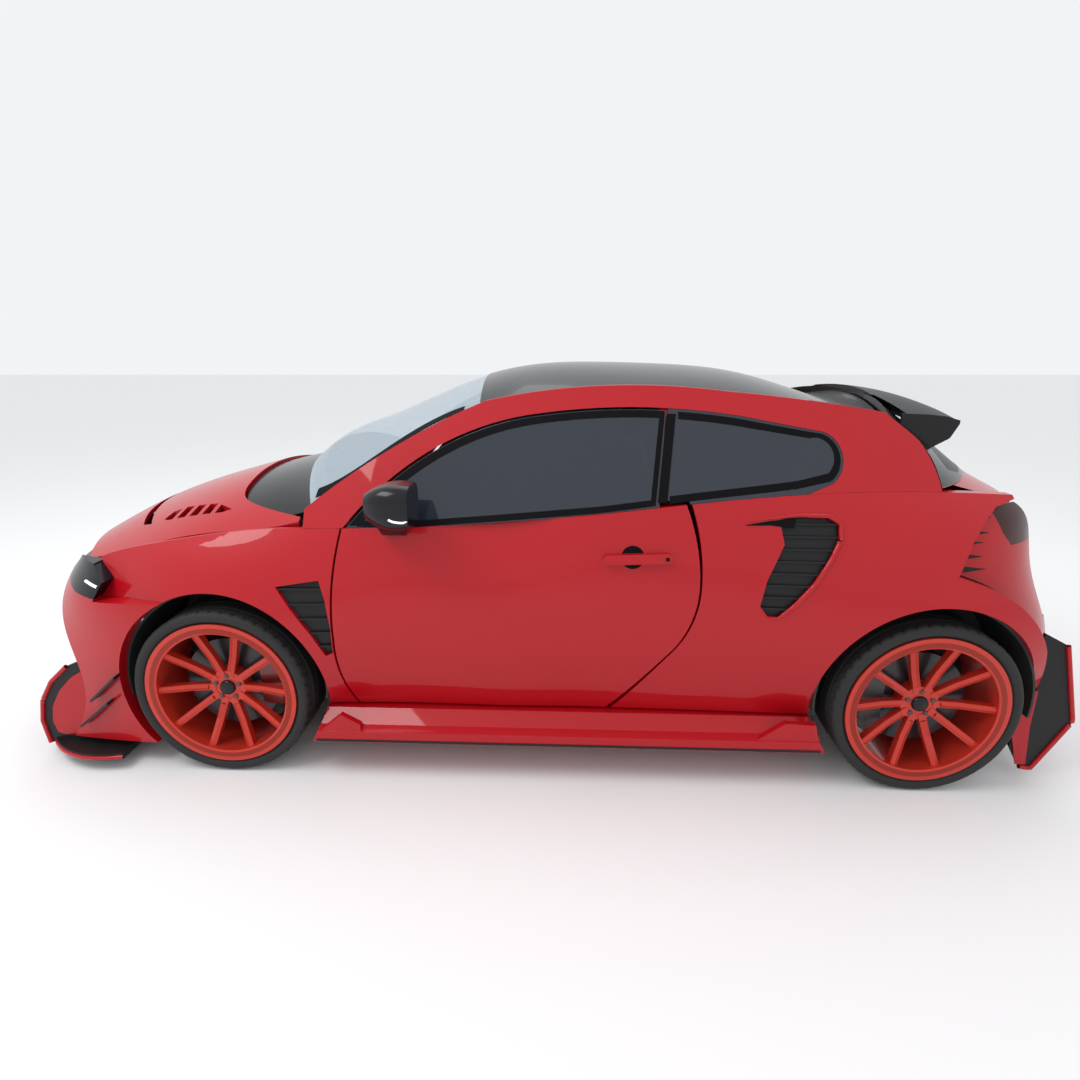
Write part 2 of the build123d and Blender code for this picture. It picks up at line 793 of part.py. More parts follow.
with BuildPart() as tailgate_glass:
    add(gate_face(GATE_UPPER, 2, 2 + GLASS))
    with BuildSketch(across(0)):
        with BuildLine():
            Polyline(*GATE_WINDOW, close=True)
        make_face()
        offset(amount=-SEAM, mode=Mode.REPLACE)
    extrude(amount=2 * FAR, mode=Mode.INTERSECT)
tailgate_glass.part.label = "tailgate_glass"
export_step(tailgate_glass.part, "parts/tailgate_glass.step")

#   dx from the rear axle, z of the top's edge and crown, z of the underside's edge and crown
SPOILER = [
    (-130, 1338, 1404, 1270, 1330),
    (-20, 1334, 1394, 1222, 1300),
    (60, 1326, 1378, 1240, 1310),
    (112, 1312, 1358, 1294, 1336),
]
SPOILER_HALF = 560.0
with BuildPart() as rear_spoiler:
    for dx, z_edge, z_crown, z_under, z_keel in SPOILER:
        with BuildSketch(across(rear(dx))):
            with BuildLine():
                ThreePointArc((-SPOILER_HALF, z_edge), (0, z_crown), (SPOILER_HALF, z_edge))
                Line((SPOILER_HALF, z_edge), (SPOILER_HALF, z_under))
                ThreePointArc((SPOILER_HALF, z_under), (0, z_keel), (-SPOILER_HALF, z_under))
                Line((-SPOILER_HALF, z_under), (-SPOILER_HALF, z_edge))
            make_face()
    loft()
    with BuildSketch():
        with BuildLine():
            Line((rear(-160), -SPOILER_HALF), (rear(88), -SPOILER_HALF))
            ThreePointArc((rear(88), -SPOILER_HALF), (rear(111), 0), (rear(88), SPOILER_HALF))
            Polyline((rear(88), SPOILER_HALF), (rear(-160), SPOILER_HALF), (rear(-160), -SPOILER_HALF))
        make_face()
    extrude(amount=FAR, mode=Mode.INTERSECT)
    add(gate_face(GATE_UPPER, -SEAM, 300, 200), mode=Mode.SUBTRACT)
    add(roof_tail(GAP), mode=Mode.SUBTRACT)
rear_spoiler.part.label = "rear_spoiler"
export_step(rear_spoiler.part, "parts/rear_spoiler.step")

# Front bumper with its lamps, grille, splitter and canards.
nose_shell = crescents(NOSE, FRONT_AXLE, -1, NOSE_END, BUMPER_WALL)
LAMP_BACK = -405.0
NOSE_BACK = -480.0
LAMP = [(-430, 742), (-600, 712), (-735, 681), (-860, 681), (-860, 830), (-430, 830)]
MOUTH = [(-400, 210), (-470, 300), (-430, 410), (430, 410), (470, 300), (400, 210)]
SIDE_MOUTH = [(-560, 190), (-590, 420), (-680, 440), (-720, 250)]


def wing_side(grow):
    """The side-view region of the wings, which the bumper and lamps stay out of."""
    with BuildPart() as block:
        with BuildSketch(along(-FAR)):
            with BuildLine():
                add(wing_nose())
                Polyline((front(-300), 1060), (front(400), 1060), (front(400), 300), (front(0), 300))
            make_face()
            offset(amount=grow, mode=Mode.REPLACE)
        extrude(amount=-2 * FAR)
    return block.part


wing_room = wing_side(SEAM)
# Two rubber stops stand on the bumper under the closed bonnet.
STOP_LOW = 760.0
STOP_OFFSET = 300.0
STOP_RADIUS = 11.0
STOP_GAP = 0.3
with BuildPart() as front_bumper:
    add(nose_shell)
    add(wing_room, mode=Mode.SUBTRACT)
    add(front_arch, mode=Mode.SUBTRACT)
    add(bonnet_room, mode=Mode.SUBTRACT)
    with BuildSketch(across(front(LAMP_BACK))):
        for side in (1, -1):
            with BuildLine():
                Polyline(*[(side * y, z) for y, z in LAMP], close=True)
            make_face()
    extrude(amount=-FAR, mode=Mode.SUBTRACT)
    with BuildSketch(across(front(NOSE_BACK))):
        for side in (1, -1):
            with BuildLine():
                Polyline(*[(side * y, z) for y, z in SIDE_MOUTH], close=True)
            make_face()
        with BuildLine():
            Polyline(*MOUTH, close=True)
        make_face()
    extrude(amount=-FAR, mode=Mode.SUBTRACT)
    with BuildSketch(Plane.XY.offset(STOP_LOW)):
        with Locations((front(-665), -STOP_OFFSET), (front(-665), STOP_OFFSET)):
            Circle(STOP_RADIUS)
    extrude(amount=100)
    add(bow_strip(bonnet_rows(), BONNET_WALL + STOP_GAP, 200), mode=Mode.SUBTRACT)
front_bumper.part.label = "front_bumper"
export_step(front_bumper.part, "parts/front_bumper.step")

with BuildPart() as headlamps:
    add(nose_shell)
    add(wing_room, mode=Mode.SUBTRACT)
    add(bonnet_room, mode=Mode.SUBTRACT)
    with BuildSketch(across(front(LAMP_BACK) - SEAM)):
        for side in (1, -1):
            with BuildLine():
                Polyline(*[(side * y, z) for y, z in LAMP], close=True)
            make_face()
        offset(amount=-SEAM, mode=Mode.REPLACE)
    extrude(amount=-FAR, mode=Mode.INTERSECT)
headlamps.part.label = "headlamps"
export_step(headlamps.part, "parts/headlamps.step")

GRILLE_BARS = 6
with BuildPart() as front_grille:
    add(crescents(NOSE, FRONT_AXLE, -1, NOSE_END, BUMPER_WALL * 0.5, -BUMPER_WALL * 0.4))
    with BuildSketch(across(front(NOSE_BACK))):
        for side in (1, -1):
            with BuildLine():
                Polyline(*[(side * y, z) for y, z in SIDE_MOUTH], close=True)
            make_face()
        with BuildLine():
            Polyline(*MOUTH, close=True)
        make_face()
        offset(amount=-SEAM, mode=Mode.REPLACE)
    extrude(amount=-FAR, mode=Mode.INTERSECT)
    with BuildSketch(across(front(NOSE_BACK))):
        with Locations((0, 315)):
            with GridLocations(96, 38, 16, GRILLE_BARS):
                RectangleRounded(84, 28, 10)
    extrude(amount=-FAR, mode=Mode.SUBTRACT)
front_grille.part.label = "front_grille"
export_step(front_grille.part, "parts/front_grille.step")
SPLITTER_LOW = 46.0
SPLITTER_WALL = 26.0
FENCE_WALL = 14.0
FENCE_SIDE = 114.0
FENCE = [(-560, 425), (-640, 390), (-716, 322), (-768, 240), (-788, 150), (-776, 52), (-560, 52)]
with BuildPart() as front_splitter:
    with BuildSketch(Plane.XY.offset(SPLITTER_LOW)):
        with BuildLine():
            ThreePointArc((front(-420), 25 - HALF_WIDTH), (front(-690), 62 - HALF_WIDTH), (front(-812), -690))
            ThreePointArc((front(-812), -690), (-LENGTH / 2, 0), (front(-812), 690))
            ThreePointArc((front(-812), 690), (front(-690), HALF_WIDTH - 62), (front(-420), HALF_WIDTH - 25))
            Line((front(-420), HALF_WIDTH - 25), (front(-420), 25 - HALF_WIDTH))
        make_face()
    extrude(amount=SPLITTER_WALL)
    with BuildSketch(Plane.XY.offset(SPLITTER_LOW + SPLITTER_WALL)):
        with BuildLine():
            Polyline(
                (front(-440), -780), (front(-690), -740), (front(-690), 740), (front(-440), 780),
                close=True,
            )
        make_face()
    extrude(amount=NOSE[0][0] - SPLITTER_LOW - SPLITTER_WALL - SEAM)
    with BuildSketch(along(-FAR)):
        with BuildLine():
            Polyline(
                (front(-400), 0),
                (front(-900), 0),
                (front(-900), SPLITTER_LOW + SPLITTER_WALL + 22),
                (front(-660), SPLITTER_LOW + SPLITTER_WALL + 26),
                (front(-500), 166),
                (front(-400), 166),
                close=True,
            )
        make_face()
    extrude(amount=-2 * FAR, mode=Mode.INTERSECT)
    with BuildSketch(along(FENCE_SIDE - HALF_WIDTH)):
        with BuildLine():
            Polyline(*[(front(dx), z) for dx, z in FENCE], close=True)
        make_face()
    extrude(amount=-FENCE_WALL)
    mirror(about=Plane.XZ)
    add(crescents(NOSE, FRONT_AXLE, -1, NOSE_END, 160, SEAM), mode=Mode.SUBTRACT)
    add(front_arch, mode=Mode.SUBTRACT)
front_splitter.part.label = "front_splitter"
export_step(front_splitter.part, "parts/front_splitter.step")

CANARD_REACH = 38.0
CANARD_THICK = 12.0
with BuildPart() as canards:
    add(crescents(NOSE, FRONT_AXLE, -1, NOSE_END, CANARD_REACH - SEAM, CANARD_REACH))
    add(crescents(NOSE, FRONT_AXLE, -1, NOSE_END, BUMPER_WALL, SEAM), mode=Mode.SUBTRACT)
    with BuildSketch(along(-FAR)):
        for x, z, x_tip, z_tip in ((-380, 406, -520, 286), (-440, 288, -590, 168)):
            with BuildLine():
                Polyline(
                    (front(x), z),
                    (front(x_tip), z_tip),
                    (front(x_tip), z_tip - CANARD_THICK),
                    (front(x), z - CANARD_THICK),
                    close=True,
                )
            make_face()
    extrude(amount=-2 * FAR, mode=Mode.INTERSECT)
canards.part.label = "canards"
export_step(canards.part, "parts/canards.step")

# Rear bumper, tail lamps and diffuser.
tail_shell = crescents(TAIL, REAR_AXLE, 1, TAIL_END, BUMPER_WALL)
#   dx from the rear axle and z, in side view
TAIL_LAMP = [(150, 1090), (202, 992), (223, 949), (262, 905), (620, 905), (620, 1090)]
SPIKES = [
    [(100, 1014), (100, 997), (180, 1001)],
    [(70, 972), (50, 944), (165, 954)],
    [(40, 935), (20, 906), (143, 924)],
    [(20, 895), (10, 860), (142, 877)],
    [(20, 852), (20, 818), (158, 834)],
]
DIFFUSER_HALF = 500.0
DIFFUSER_TOP = 290.0
TIP_RADIUS = 45.0
TIP_SIDE = 260.0
TIP_HEIGHT = 236.0
GATE_LOW = GATE_LOWER[-1][0]
GATE_HALF = GATE_LOWER[0][3] + GAP


def quarter_side(grow):
    """The side-view region of the quarters, which the bumper and lamps stay out of."""
    with BuildPart() as block:
        with BuildSketch(along(-FAR)):
            with BuildLine():
                add(quarter_outline(0))
            make_face()
            offset(amount=grow, mode=Mode.REPLACE)
        extrude(amount=-2 * FAR)
    return block.part


def side_blocks(outlines, grow):
    """Blocks right across the car with the given side-view outlines, grown by grow."""
    with BuildPart() as block:
        with BuildSketch(along(-FAR)):
            for outline in outlines:
                with BuildLine():
                    Polyline(*[(rear(dx), z) for dx, z in outline], close=True)
                make_face()
            offset(amount=grow, mode=Mode.REPLACE)
        extrude(amount=-2 * FAR)
    return block.part


quarter_room = quarter_side(SEAM)
lamp_room = side_blocks([TAIL_LAMP], SEAM)
with BuildPart() as rear_bumper:
    add(tail_shell)
    add(quarter_room, mode=Mode.SUBTRACT)
    add(rear_arch, mode=Mode.SUBTRACT)
    with BuildSketch(across(0)):
        with Locations((0, GATE_LOW - GAP + FAR / 2)):
            Rectangle(2 * GATE_HALF, FAR)
        with Locations((0, DIFFUSER_TOP / 2)):
            Rectangle(2 * DIFFUSER_HALF, DIFFUSER_TOP)
    extrude(amount=FAR + 400, mode=Mode.SUBTRACT)
    add(lamp_room, mode=Mode.SUBTRACT)
    add(side_blocks(SPIKES, SEAM), mode=Mode.SUBTRACT)
rear_bumper.part.label = "rear_bumper"
export_step(rear_bumper.part, "parts/rear_bumper.step")

with BuildPart() as tail_lamps:
    add(tail_shell)
    add(quarter_room, mode=Mode.SUBTRACT)
    with BuildSketch(across(0)):
        for side in (1, -1):
            with Locations((side * (GATE_HALF + FAR / 2), FAR / 2)):
                Rectangle(FAR, FAR)
    extrude(amount=FAR + 400, mode=Mode.INTERSECT)
    add(side_blocks([TAIL_LAMP], 0), mode=Mode.INTERSECT)
tail_lamps.part.label = "tail_lamps"
export_step(tail_lamps.part, "parts/tail_lamps.step")

with BuildPart() as tail_vents:
    add(tail_shell)
    add(quarter_room, mode=Mode.SUBTRACT)
    add(lamp_room, mode=Mode.SUBTRACT)
    add(side_blocks(SPIKES, 0), mode=Mode.INTERSECT)
    with BuildSketch(across(0)):
        for side in (1, -1):
            with Locations((side * (GATE_HALF + FAR / 2), FAR / 2)):
                Rectangle(FAR, FAR)
    extrude(amount=FAR + 400, mode=Mode.INTERSECT)
tail_vents.part.label = "tail_vents"
export_step(tail_vents.part, "parts/tail_vents.step")

FIN_WALL = 12.0
END_PLATE_SIDE = 114.0
END_PLATE = [(412, 595), (498, 550), (582, 247), (472, 41), (430, 49), (379, 135)]
FINS = 5
with BuildPart() as end_plates:
    with BuildSketch(along(END_PLATE_SIDE - HALF_WIDTH)):
        with BuildLine():
            Polyline(*[(rear(dx), z) for dx, z in END_PLATE], close=True)
        make_face()
    extrude(amount=-FIN_WALL)
    add(crescents(TAIL, REAR_AXLE, 1, TAIL_END, 160, SEAM), mode=Mode.SUBTRACT)
    add(quarter_room, mode=Mode.SUBTRACT)
    mirror(about=Plane.XZ)
with BuildPart() as rear_diffuser:
    with BuildSketch(along(-DIFFUSER_HALF + SEAM)):
        with BuildLine():
            Polyline(
                (rear(330), 150),
                (rear(560), 256),
                (rear(560), DIFFUSER_TOP - SEAM),
                (rear(490), DIFFUSER_TOP - SEAM),
                (rear(330), 176),
                close=True,
            )
        make_face()
    extrude(amount=-2 * (DIFFUSER_HALF - SEAM))
    with BuildSketch(across(rear(340))):
        with Locations((0, 180)):
            with GridLocations(2 * (DIFFUSER_HALF - 20) / (FINS - 1), 0, FINS, 1):
                Rectangle(FIN_WALL, 200)
    extrude(amount=220)
    with BuildSketch(along(-FAR)):
        with BuildLine():
            Polyline(
                (rear(330), 130), (rear(400), 110), (rear(540), 120), (rear(580), 250),
                (rear(565), DIFFUSER_TOP - SEAM),
                (rear(330), DIFFUSER_TOP - SEAM), close=True,
            )
        make_face()
    extrude(amount=-2 * FAR, mode=Mode.INTERSECT)
    with BuildSketch(across(rear(300))):
        with Locations((-TIP_SIDE, TIP_HEIGHT), (TIP_SIDE, TIP_HEIGHT)):
            Circle(TIP_RADIUS + SEAM)
    extrude(amount=400, mode=Mode.SUBTRACT)
    add(end_plates.part)
rear_diffuser.part.label = "rear_diffuser"
export_step(rear_diffuser.part, "parts/rear_diffuser.step")

# Side skirts over the sills, with a raised fin at each end.
with BuildPart() as side_skirts:
    with BuildSketch(across(front(330))):
        with BuildLine():
            Polyline(
                (-SILL_INNER, SILL_LOW),
                (-SILL_INNER, SILL_TOP),
                (100 - HALF_WIDTH, SILL_TOP),
                (48 - HALF_WIDTH, SILL_TOP - 40),
                (18 - HALF_WIDTH, SILL_TOP - 54),
                (18 - HALF_WIDTH, SILL_LOW + 14),
                (34 - HALF_WIDTH, SILL_LOW),
                close=True,
            )
        make_face()
    extrude(amount=WHEELBASE - 660)
    with BuildSketch(along(22 - HALF_WIDTH)):
        for fin in (
            [
                (front(330), SILL_LOW + 20), (front(391), 213), (front(450), 262), (front(520), 222),
                (front(520), 190),
            ],
            [
                (rear(-590), 190), (rear(-569), 204), (rear(-486), 266), (rear(-354), 260),
                (rear(-330), SILL_LOW + 20),
            ],
        ):
            with BuildLine():
                Polyline(*fin, close=True)
            make_face()
    extrude(amount=-24)
    add(front_arch, mode=Mode.SUBTRACT)
    add(rear_arch, mode=Mode.SUBTRACT)
    mirror(about=Plane.XZ)
side_skirts.part.label = "side_skirts"
export_step(side_skirts.part, "parts/side_skirts.step")

# Floor with its tunnel and the raised boot floor, and the bulkhead behind the engine.
FIREWALL = 500.0
with BuildPart() as floor_pan:
    with BuildSketch(along(-470)):
        with BuildLine():
            Polyline(
                (front(-380), FLOOR_LOW + FLOOR_WALL),
                (rear(-470), FLOOR_LOW + FLOOR_WALL),
                (rear(-350), BOOT_FLOOR + FLOOR_WALL),
                (rear(380), BOOT_FLOOR + FLOOR_WALL),
                (rear(380), BOOT_FLOOR),
                (rear(-335), BOOT_FLOOR),
                (rear(-455), FLOOR_LOW),
                (front(-380), FLOOR_LOW),
                close=True,
            )
        make_face()
    extrude(amount=-940)
    with BuildSketch(Plane.XY.offset(FLOOR_LOW)):
        with Locations(((front(400) + rear(-470)) / 2, 0)):
            Rectangle(WHEELBASE - 870, 2 * (SILL_INNER - SEAM))
    extrude(amount=FLOOR_WALL)
    with BuildSketch(across(front(FIREWALL))):
        with Locations((0, FLOOR_LOW + 70)):
            RectangleRounded(2 * TUNNEL_HALF, 140, 40)
    extrude(amount=WHEELBASE - FIREWALL - 780)
floor_pan.part.label = "floor_pan"
export_step(floor_pan.part, "parts/floor_pan.step")

FIREWALL_TOP = 890.0
with BuildPart() as firewall:
    with BuildSketch(across(front(FIREWALL) - SEAM)):
        with BuildLine():
            Polyline(
                (-SILL_INNER + 20, FLOOR_LOW + FLOOR_WALL + SEAM),
                (SILL_INNER - 20, FLOOR_LOW + FLOOR_WALL + SEAM),
                (SILL_INNER - 20, FIREWALL_TOP),
                (20 - SILL_INNER, FIREWALL_TOP),
                close=True,
            )
        make_face()
    extrude(amount=-24)
firewall.part.label = "firewall"
export_step(firewall.part, "parts/firewall.step")

# Wheel-arch liners: a shell round each wheel, closed towards the engine bay or boot.
FRONT_INNER = 448.0
REAR_INNER = 560.0
with BuildPart() as arch_liners:
    for axle, inner, outer in ((FRONT_AXLE, FRONT_INNER, 90), (REAR_AXLE, REAR_INNER, 60)):
        with BuildSketch(along(outer - HALF_WIDTH)):
            with Locations((axle, TYRE_RADIUS + ARCH_RISE)):
                Circle(ARCH_RADIUS - SEAM)
        extrude(amount=-(HALF_WIDTH - outer - inner + LINER_WALL))
        with BuildSketch(along(-HALF_WIDTH)):
            with Locations((axle, TYRE_RADIUS + ARCH_RISE)):
                Circle(ARCH_RADIUS - SEAM - LINER_WALL)
        extrude(amount=-(HALF_WIDTH - inner), mode=Mode.SUBTRACT)
    with BuildSketch(Plane.XY.offset(-ARCH_RADIUS)):
        Rectangle(2 * FAR, 2 * FAR)
    extrude(amount=ARCH_RADIUS + TYRE_RADIUS - 40, mode=Mode.SUBTRACT)
    mirror(about=Plane.XZ)
arch_liners.part.label = "arch_liners"
export_step(arch_liners.part, "parts/arch_liners.step")

# Wheels turn about the Y axis; depth is measured inwards from the tyre's outer face.
FRONT_FACE = HALF_WIDTH - FRONT_FACE_IN
REAR_FACE = HALF_WIDTH - REAR_FACE_IN
LIP = 8.0
BEAD = 14.0


def wheel_axis(axle):
    return Axis((axle, 0, TYRE_RADIUS), (0, 1, 0))


def tyre(axle, face):
    """A low tyre whose sidewalls round into the tread."""
    low = BARREL_RADIUS + SEAM
    with BuildPart() as ring:
        with BuildSketch(Plane(origin=(axle, -face, TYRE_RADIUS), x_dir=(0, 1, 0), z_dir=(1, 0, 0))):
            with BuildLine():
                Line((BEAD, low), (BEAD, LIP_RADIUS + 4))
                ThreePointArc((BEAD, LIP_RADIUS + 4), (1, LIP_RADIUS + 18), (28, TYRE_RADIUS - 2))
                ThreePointArc(
                    (28, TYRE_RADIUS - 2), (TYRE_WIDTH / 2, TYRE_RADIUS), (TYRE_WIDTH - 28, TYRE_RADIUS - 2)
                )
                ThreePointArc(
                    (TYRE_WIDTH - 28, TYRE_RADIUS - 2),
                    (TYRE_WIDTH - 1, LIP_RADIUS + 18),
                    (TYRE_WIDTH - BEAD, LIP_RADIUS + 4),
                )
                Polyline((TYRE_WIDTH - BEAD, LIP_RADIUS + 4), (TYRE_WIDTH - BEAD, low), (BEAD, low))
            make_face()
        revolve(axis=wheel_axis(axle))
    return ring.part


def wheel(axle, face):
    """Rim with a deep lip, dished spokes, hub and brake disc, all turning together."""
    inner = BARREL_RADIUS - RIM_WALL
    disc_face = DISC_DEPTH
    with BuildPart() as rim:
        with BuildSketch(Plane(origin=(axle, -face, TYRE_RADIUS), x_dir=(0, 1, 0), z_dir=(1, 0, 0))):
            with BuildLine():
                Polyline(
                    (LIP - 4, LIP_RADIUS),
                    (BEAD - SEAM, LIP_RADIUS),
                    (BEAD - SEAM, BARREL_RADIUS),
                    (TYRE_WIDTH - BEAD + SEAM, BARREL_RADIUS),
                    (TYRE_WIDTH - BEAD + SEAM, LIP_RADIUS),
                    (TYRE_WIDTH - LIP + 2, LIP_RADIUS),
                    (TYRE_WIDTH - LIP, inner),
                    (LIP, inner),
                    (LIP - 4, inner + 6),
                    close=True,
                )
            make_face()
            with BuildLine():
                Polyline(
                    (HUB_DISH, 0),
                    (HUB_DISH, HUB_RADIUS),
                    (HUB_DISH + 34, HUB_RADIUS + 6),
                    (disc_face, HUB_RADIUS + 6),
                    (disc_face, DISC_RADIUS),
                    (disc_face + DISC_THICK, DISC_RADIUS),
                    (disc_face + DISC_THICK, SPINDLE_RADIUS + FIT),
                    (HUB_DISH + 30, SPINDLE_RADIUS + FIT),
                    (HUB_DISH + 30, 0),
                    close=True,
                )
            make_face()
        revolve(axis=wheel_axis(axle))
        with BuildSketch(Plane(origin=(axle, -face, TYRE_RADIUS), x_dir=(0, 1, 0), z_dir=(1, 0, 0))):
            with BuildLine():
                Polyline(
                    (HUB_DISH - 2, HUB_RADIUS - 20),
                    (HUB_DISH - 12, HUB_RADIUS + 70),
                    (LIP + 14, inner + 4),
                    (LIP + 46, inner + 4),
                    (HUB_DISH + 14, HUB_RADIUS + 70),
                    (HUB_DISH + 24, HUB_RADIUS - 20),
                    close=True,
                )
            make_face()
        spoke = extrude(amount=SPOKE_WIDTH / 2, both=True, mode=Mode.PRIVATE)
        for n in range(SPOKES):
            add(spoke.rotate(wheel_axis(axle), 360.0 * (n + 0.5) / SPOKES))
    return rim.part


WHEELS = (("front", FRONT_AXLE, FRONT_FACE), ("rear", REAR_AXLE, REAR_FACE))
for end, axle, face in WHEELS:
    left_tyre = tyre(axle, face)
    left_rim = wheel(axle, face)
    for kind, solid in (("tyre", left_tyre), ("wheel", left_rim)):
        with BuildPart() as left:
            add(solid)
        left.part.label = f"{kind}_{end}_left"
        export_step(left.part, f"parts/{kind}_{end}_left.step")
        with BuildPart() as right:
            mirror(solid, about=Plane.XZ)
        right.part.label = f"{kind}_{end}_right"
        export_step(right.part, f"parts/{kind}_{end}_right.step")

# Front suspension: a subframe with a lower arm to each knuckle; the knuckle carries spindle and caliper.
KINGPIN = FRONT_FACE - KINGPIN_DEPTH
ARM_LOW = 176.0
ARM_THICK = 34.0
ARM_EYE = 24.0
ENGINE_LOW = 226.0
CALIPER_GAP = 7.0
with BuildPart() as front_subframe:
    with BuildSketch(Plane.XY.offset(ARM_LOW)):
        with BuildLine():
            Polyline(
                (front(-170), -300), (front(-170), 300), (front(150), 420), (front(190), 420),
                (front(190), -420), (front(150), -420), close=True,
            )
        make_face()
        with BuildLine():
            Polyline(
                (front(-150), -290), (front(-20), -KINGPIN), (front(20), -KINGPIN),
                (front(170), -400), close=True,
            )
        make_face()
        with BuildLine():
            Polyline(
                (front(-150), 290), (front(-20), KINGPIN), (front(20), KINGPIN), (front(170), 400),
                close=True,
            )
        make_face()
        with Locations((FRONT_AXLE, -KINGPIN), (FRONT_AXLE, KINGPIN)):
            Circle(ARM_EYE)
        with Locations((FRONT_AXLE, -KINGPIN), (FRONT_AXLE, KINGPIN)):
            Circle(KINGPIN_RADIUS + FIT, mode=Mode.SUBTRACT)
    extrude(amount=ARM_THICK)
    with BuildSketch(Plane.XY.offset(FLOOR_LOW + FLOOR_WALL + SEAM)):
        with Locations((front(0), -330), (front(0), 330)):
            Rectangle(70, 70)
    extrude(amount=ARM_LOW - FLOOR_LOW - FLOOR_WALL)
    with BuildSketch(Plane.XY.offset(ARM_LOW)):
        with GridLocations(240, 440, 2, 2):
            with Locations((front(-20), 0)):
                Rectangle(60, 60)
    extrude(amount=ENGINE_LOW - ARM_LOW - SEAM)
front_subframe.part.label = "front_subframe"
export_step(front_subframe.part, "parts/front_subframe.step")


def caliper(axle, face, turn):
    """A caliper that straddles the disc, placed round the axis by turn."""
    with BuildPart() as block:
        with BuildSketch(Plane(origin=(axle, -face, TYRE_RADIUS), x_dir=(0, 1, 0), z_dir=(1, 0, 0))):
            with BuildLine():
                Polyline(
                    (DISC_DEPTH - CALIPER_GAP - 8, DISC_RADIUS - 66),
                    (DISC_DEPTH - CALIPER_GAP, DISC_RADIUS - 66),
                    (DISC_DEPTH - CALIPER_GAP, DISC_RADIUS + CALIPER_GAP),
                    (DISC_DEPTH + DISC_THICK + CALIPER_GAP, DISC_RADIUS + CALIPER_GAP),
                    (DISC_DEPTH + DISC_THICK + CALIPER_GAP, SPINDLE_RADIUS),
                    (DISC_DEPTH + DISC_THICK + CALIPER_GAP + 26, SPINDLE_RADIUS),
                    (DISC_DEPTH + DISC_THICK + CALIPER_GAP + 26, DISC_RADIUS + CALIPER_GAP + 12),
                    (DISC_DEPTH + DISC_THICK + 4, DISC_RADIUS + CALIPER_GAP + 26),
                    (DISC_DEPTH - 4, DISC_RADIUS + CALIPER_GAP + 26),
                    (DISC_DEPTH - CALIPER_GAP - 8, DISC_RADIUS + CALIPER_GAP + 4),
                    close=True,
                )
            make_face()
        extrude(amount=85, both=True)
    return block.part.rotate(wheel_axis(axle), turn)


CARRIER_IN = DISC_DEPTH + DISC_THICK + CALIPER_GAP
with BuildPart() as knuckle_left:
    with BuildSketch(along(HUB_DISH + 34 - FRONT_FACE)):
        with Locations((FRONT_AXLE, TYRE_RADIUS)):
            Circle(SPINDLE_RADIUS)
    extrude(amount=-(CARRIER_IN + 40 - HUB_DISH - 34))
    with BuildSketch(along(CARRIER_IN - FRONT_FACE)):
        with Locations((FRONT_AXLE, TYRE_RADIUS)):
            Circle(64)
    extrude(amount=-40)
    with BuildSketch(Plane.XY.offset(ARM_LOW + 2)):
        with Locations((FRONT_AXLE, -KINGPIN)):
            Circle(KINGPIN_RADIUS)
    extrude(amount=ARM_THICK + 30)
    with BuildSketch(Plane.XY.offset(ARM_LOW + ARM_THICK + SEAM)):
        with Locations((FRONT_AXLE, -KINGPIN)):
            RectangleRounded(52, 40, 8)
    extrude(amount=TYRE_RADIUS - ARM_LOW - ARM_THICK)
    add(caliper(FRONT_AXLE, FRONT_FACE, 90))
knuckle_left.part.label = "knuckle_left"
export_step(knuckle_left.part, "parts/knuckle_left.step")

with BuildPart() as knuckle_right:
    mirror(knuckle_left.part, about=Plane.XZ)
knuckle_right.part.label = "knuckle_right"
export_step(knuckle_right.part, "parts/knuckle_right.step")

# Rear axle beam on trailing arms, with spindles and calipers.
ARM_DEPTH = TYRE_WIDTH + 12
with BuildPart() as rear_axle:
    with BuildSketch(along(HUB_DISH + 34 - REAR_FACE)):
        with Locations((REAR_AXLE, TYRE_RADIUS)):
            Circle(SPINDLE_RADIUS)
    extrude(amount=-(CARRIER_IN + 60 - HUB_DISH - 34))
    with BuildSketch(along(CARRIER_IN - REAR_FACE)):
        with Locations((REAR_AXLE, TYRE_RADIUS)):
            Circle(64)
    extrude(amount=-(ARM_DEPTH + 40 - CARRIER_IN))
    with BuildSketch(along(ARM_DEPTH - REAR_FACE)):
        with BuildLine():
            Polyline(
                (rear(40), TYRE_RADIUS - 70), (rear(60), TYRE_RADIUS + 20), (rear(-40), TYRE_RADIUS + 40),
                (rear(-60), TYRE_RADIUS - 50), (rear(-300), 250), (rear(-300), 200), (rear(-60), 200),
                close=True,
            )
        make_face()
    extrude(amount=-70)
    add(caliper(REAR_AXLE, REAR_FACE, -90))
    with BuildSketch(along(ARM_DEPTH + 40 - REAR_FACE)):
        with Locations((rear(-10), TYRE_RADIUS - 80)):
            RectangleRounded(80, 80, 20)
    extrude(amount=-(REAR_FACE - ARM_DEPTH - 40))
    with BuildSketch(Plane.XY.offset(220)):
        with Locations((rear(-250), -440)):
            Rectangle(70, 50)
    extrude(amount=BOOT_FLOOR - 220 - SEAM)
    with BuildSketch(Plane.XY.offset(220)):
        with Locations((rear(-250), -505)):
            Rectangle(60, 170)
    extrude(amount=30)
    mirror(about=Plane.XZ)
rear_axle.part.label = "rear_axle"
export_step(rear_axle.part, "parts/rear_axle.step")

# Engine block on the subframe, and the exhaust under the boot floor.
with BuildPart() as engine_block:
    with BuildSketch(Plane.XY.offset(ENGINE_LOW)):
        with Locations((front(-30), 0)):
            RectangleRounded(420, 700, 40)
    extrude(amount=470)
engine_block.part.label = "engine_block"
export_step(engine_block.part, "parts/engine_block.step")

